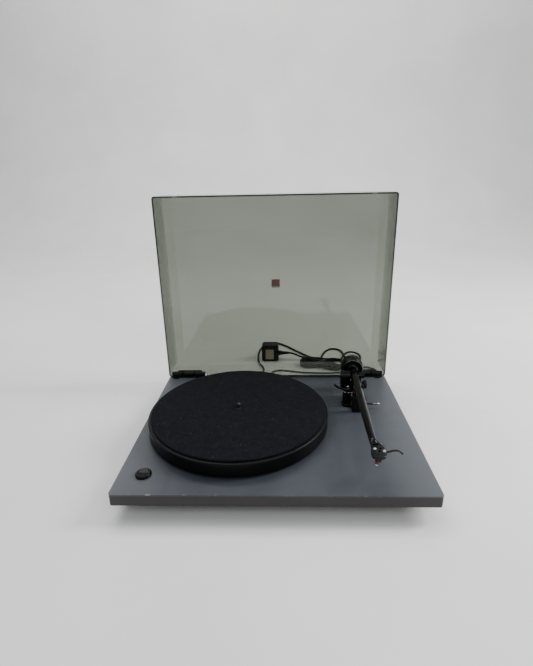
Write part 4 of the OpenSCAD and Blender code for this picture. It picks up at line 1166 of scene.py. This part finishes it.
def badge():
    """The plain square badge: raised rim, sunk field, pale lower edge, and a back against the lid, painted a brighter
    red than the face as painted light against the shade it sits in.
    """
    low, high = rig.box("lid_badge")
    middle = (low + high) / 2

    def place(x, y, z):
        return middle + (Vector((x, 0, 0)) + LID_UP * y + LID_OUT * z) * MM

    slot = ("lid", "badge")
    edge = [(-7.6, -7.6), (7.6, -7.6), (7.6, -6.2), (-7.6, -6.2)]
    field = plate("badge_field", oval(17.2, 17.2, 1), [], -0.4, 0.2, place, *slot, M["badge"], 0.1)
    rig.replaces(field, "lid_badge")
    plate("badge_rim", oval(17.4, 17.4, 1.1), [oval(15.4, 15.4, 0.6)], -0.3, 0.4, place, *slot, M["badge"],
          0.15)
    plate("badge_back", oval(16.6, 16.6, 0.9), [], -0.44, -0.3, place, *slot, M["badge_back"], 0.03)
    plate("badge_edge", edge, [], -0.48, 0.3, place, *slot, M["white_plastic"], 0.03)


badge()
cover_low, cover_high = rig.box("motor_cover")
cover_mid = (cover_low + cover_high) / 2


def under(x, y, z):
    """A point in mm on the motor cover's underside, from its middle and downwards."""
    return Vector((cover_mid.x - x * MM, cover_mid.y + y * MM, cover_low.z - z * MM))


plate("rating_label", oval(50, 26, 1), [], -0.2, 0.15, lambda x, y, z: under(x + 38, y - 30, z), "deck",
      "black_plastic", M["label"], 0.03)


# ---------- the stage and light
def backdrop():
    """A pale floor that curves up into a backdrop."""
    n = Nodes("pale_floor")
    tone = n.mix(n.ramp(n.noise(3.0, 5.0), 0.3, 0.7), rgb(226, 226, 224), rgb(236, 236, 234))
    shader = n.add("BsdfPrincipled", {"Base Color": tone, "Roughness": 0.6, "Specular IOR Level": 0.2})
    front, back, bend, half, tall, below = -3.5, 2.6, 1.0, 4.5, 4.5, 0.0002
    outline = [(front, 0.0), (back - bend, 0.0)]
    outline += [(back - bend + bend * math.sin(a), bend - bend * math.cos(a))
                for a in (math.pi / 2 * k / 12 for k in range(1, 13))]
    outline.append((back, tall))
    verts = [(x, y, FLOOR + z - below) for x in (-half, half) for y, z in outline]
    count = len(outline)
    faces = [(k, k + 1, count + k + 1, count + k) for k in range(count - 1)]
    floor = mesh_object("floor", verts, faces, None, None, n.finish(shader.outputs[0]))
    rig.stage(floor)


def area_light(name, place, target, size, power):
    """A soft rectangular lamp at a place, facing a target, in metres and watts."""
    light = bpy.data.lights.new(name, "AREA")
    light.shape = "RECTANGLE"
    light.size, light.size_y = size
    light.energy = power
    lamp = bpy.data.objects.new(name, light)
    bpy.context.scene.collection.objects.link(lamp)
    lamp.location = place
    lamp.rotation_euler = (Vector(target) - Vector(place)).to_track_quat("-Z", "Y").to_euler()


def world_light(strength):
    world = bpy.data.worlds.new("studio")
    bpy.context.scene.world = world
    world.use_nodes = True
    ground = world.node_tree.nodes["Background"]
    ground.inputs["Color"].default_value = (0.93, 0.96, 1.0, 1)
    ground.inputs["Strength"].default_value = strength


backdrop()
world_light(0.42)
area_light("key", (-0.7, 0.35, 2.1), (0, 0, 0.05), (1.6, 1.6), 24)
area_light("front", (0.9, -1.6, 1.7), (0, 0, 0.1), (1.4, 1.0), 14)
area_light("side", (1.5, 0.2, 1.2), (0.1, 0, 0.05), (0.4, 0.9), 32)
area_light("backdrop_light", (0, 1.4, 2.6), (0, 2.4, 0.6), (3.0, 0.8), 45)

# ---------- done
vis_low, vis_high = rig.bounds()
with open("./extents.json", "w") as out:
    json.dump({"cad": [list(cad_low), list(cad_high)], "visual": [list(vis_low), list(vis_high)]}, out)
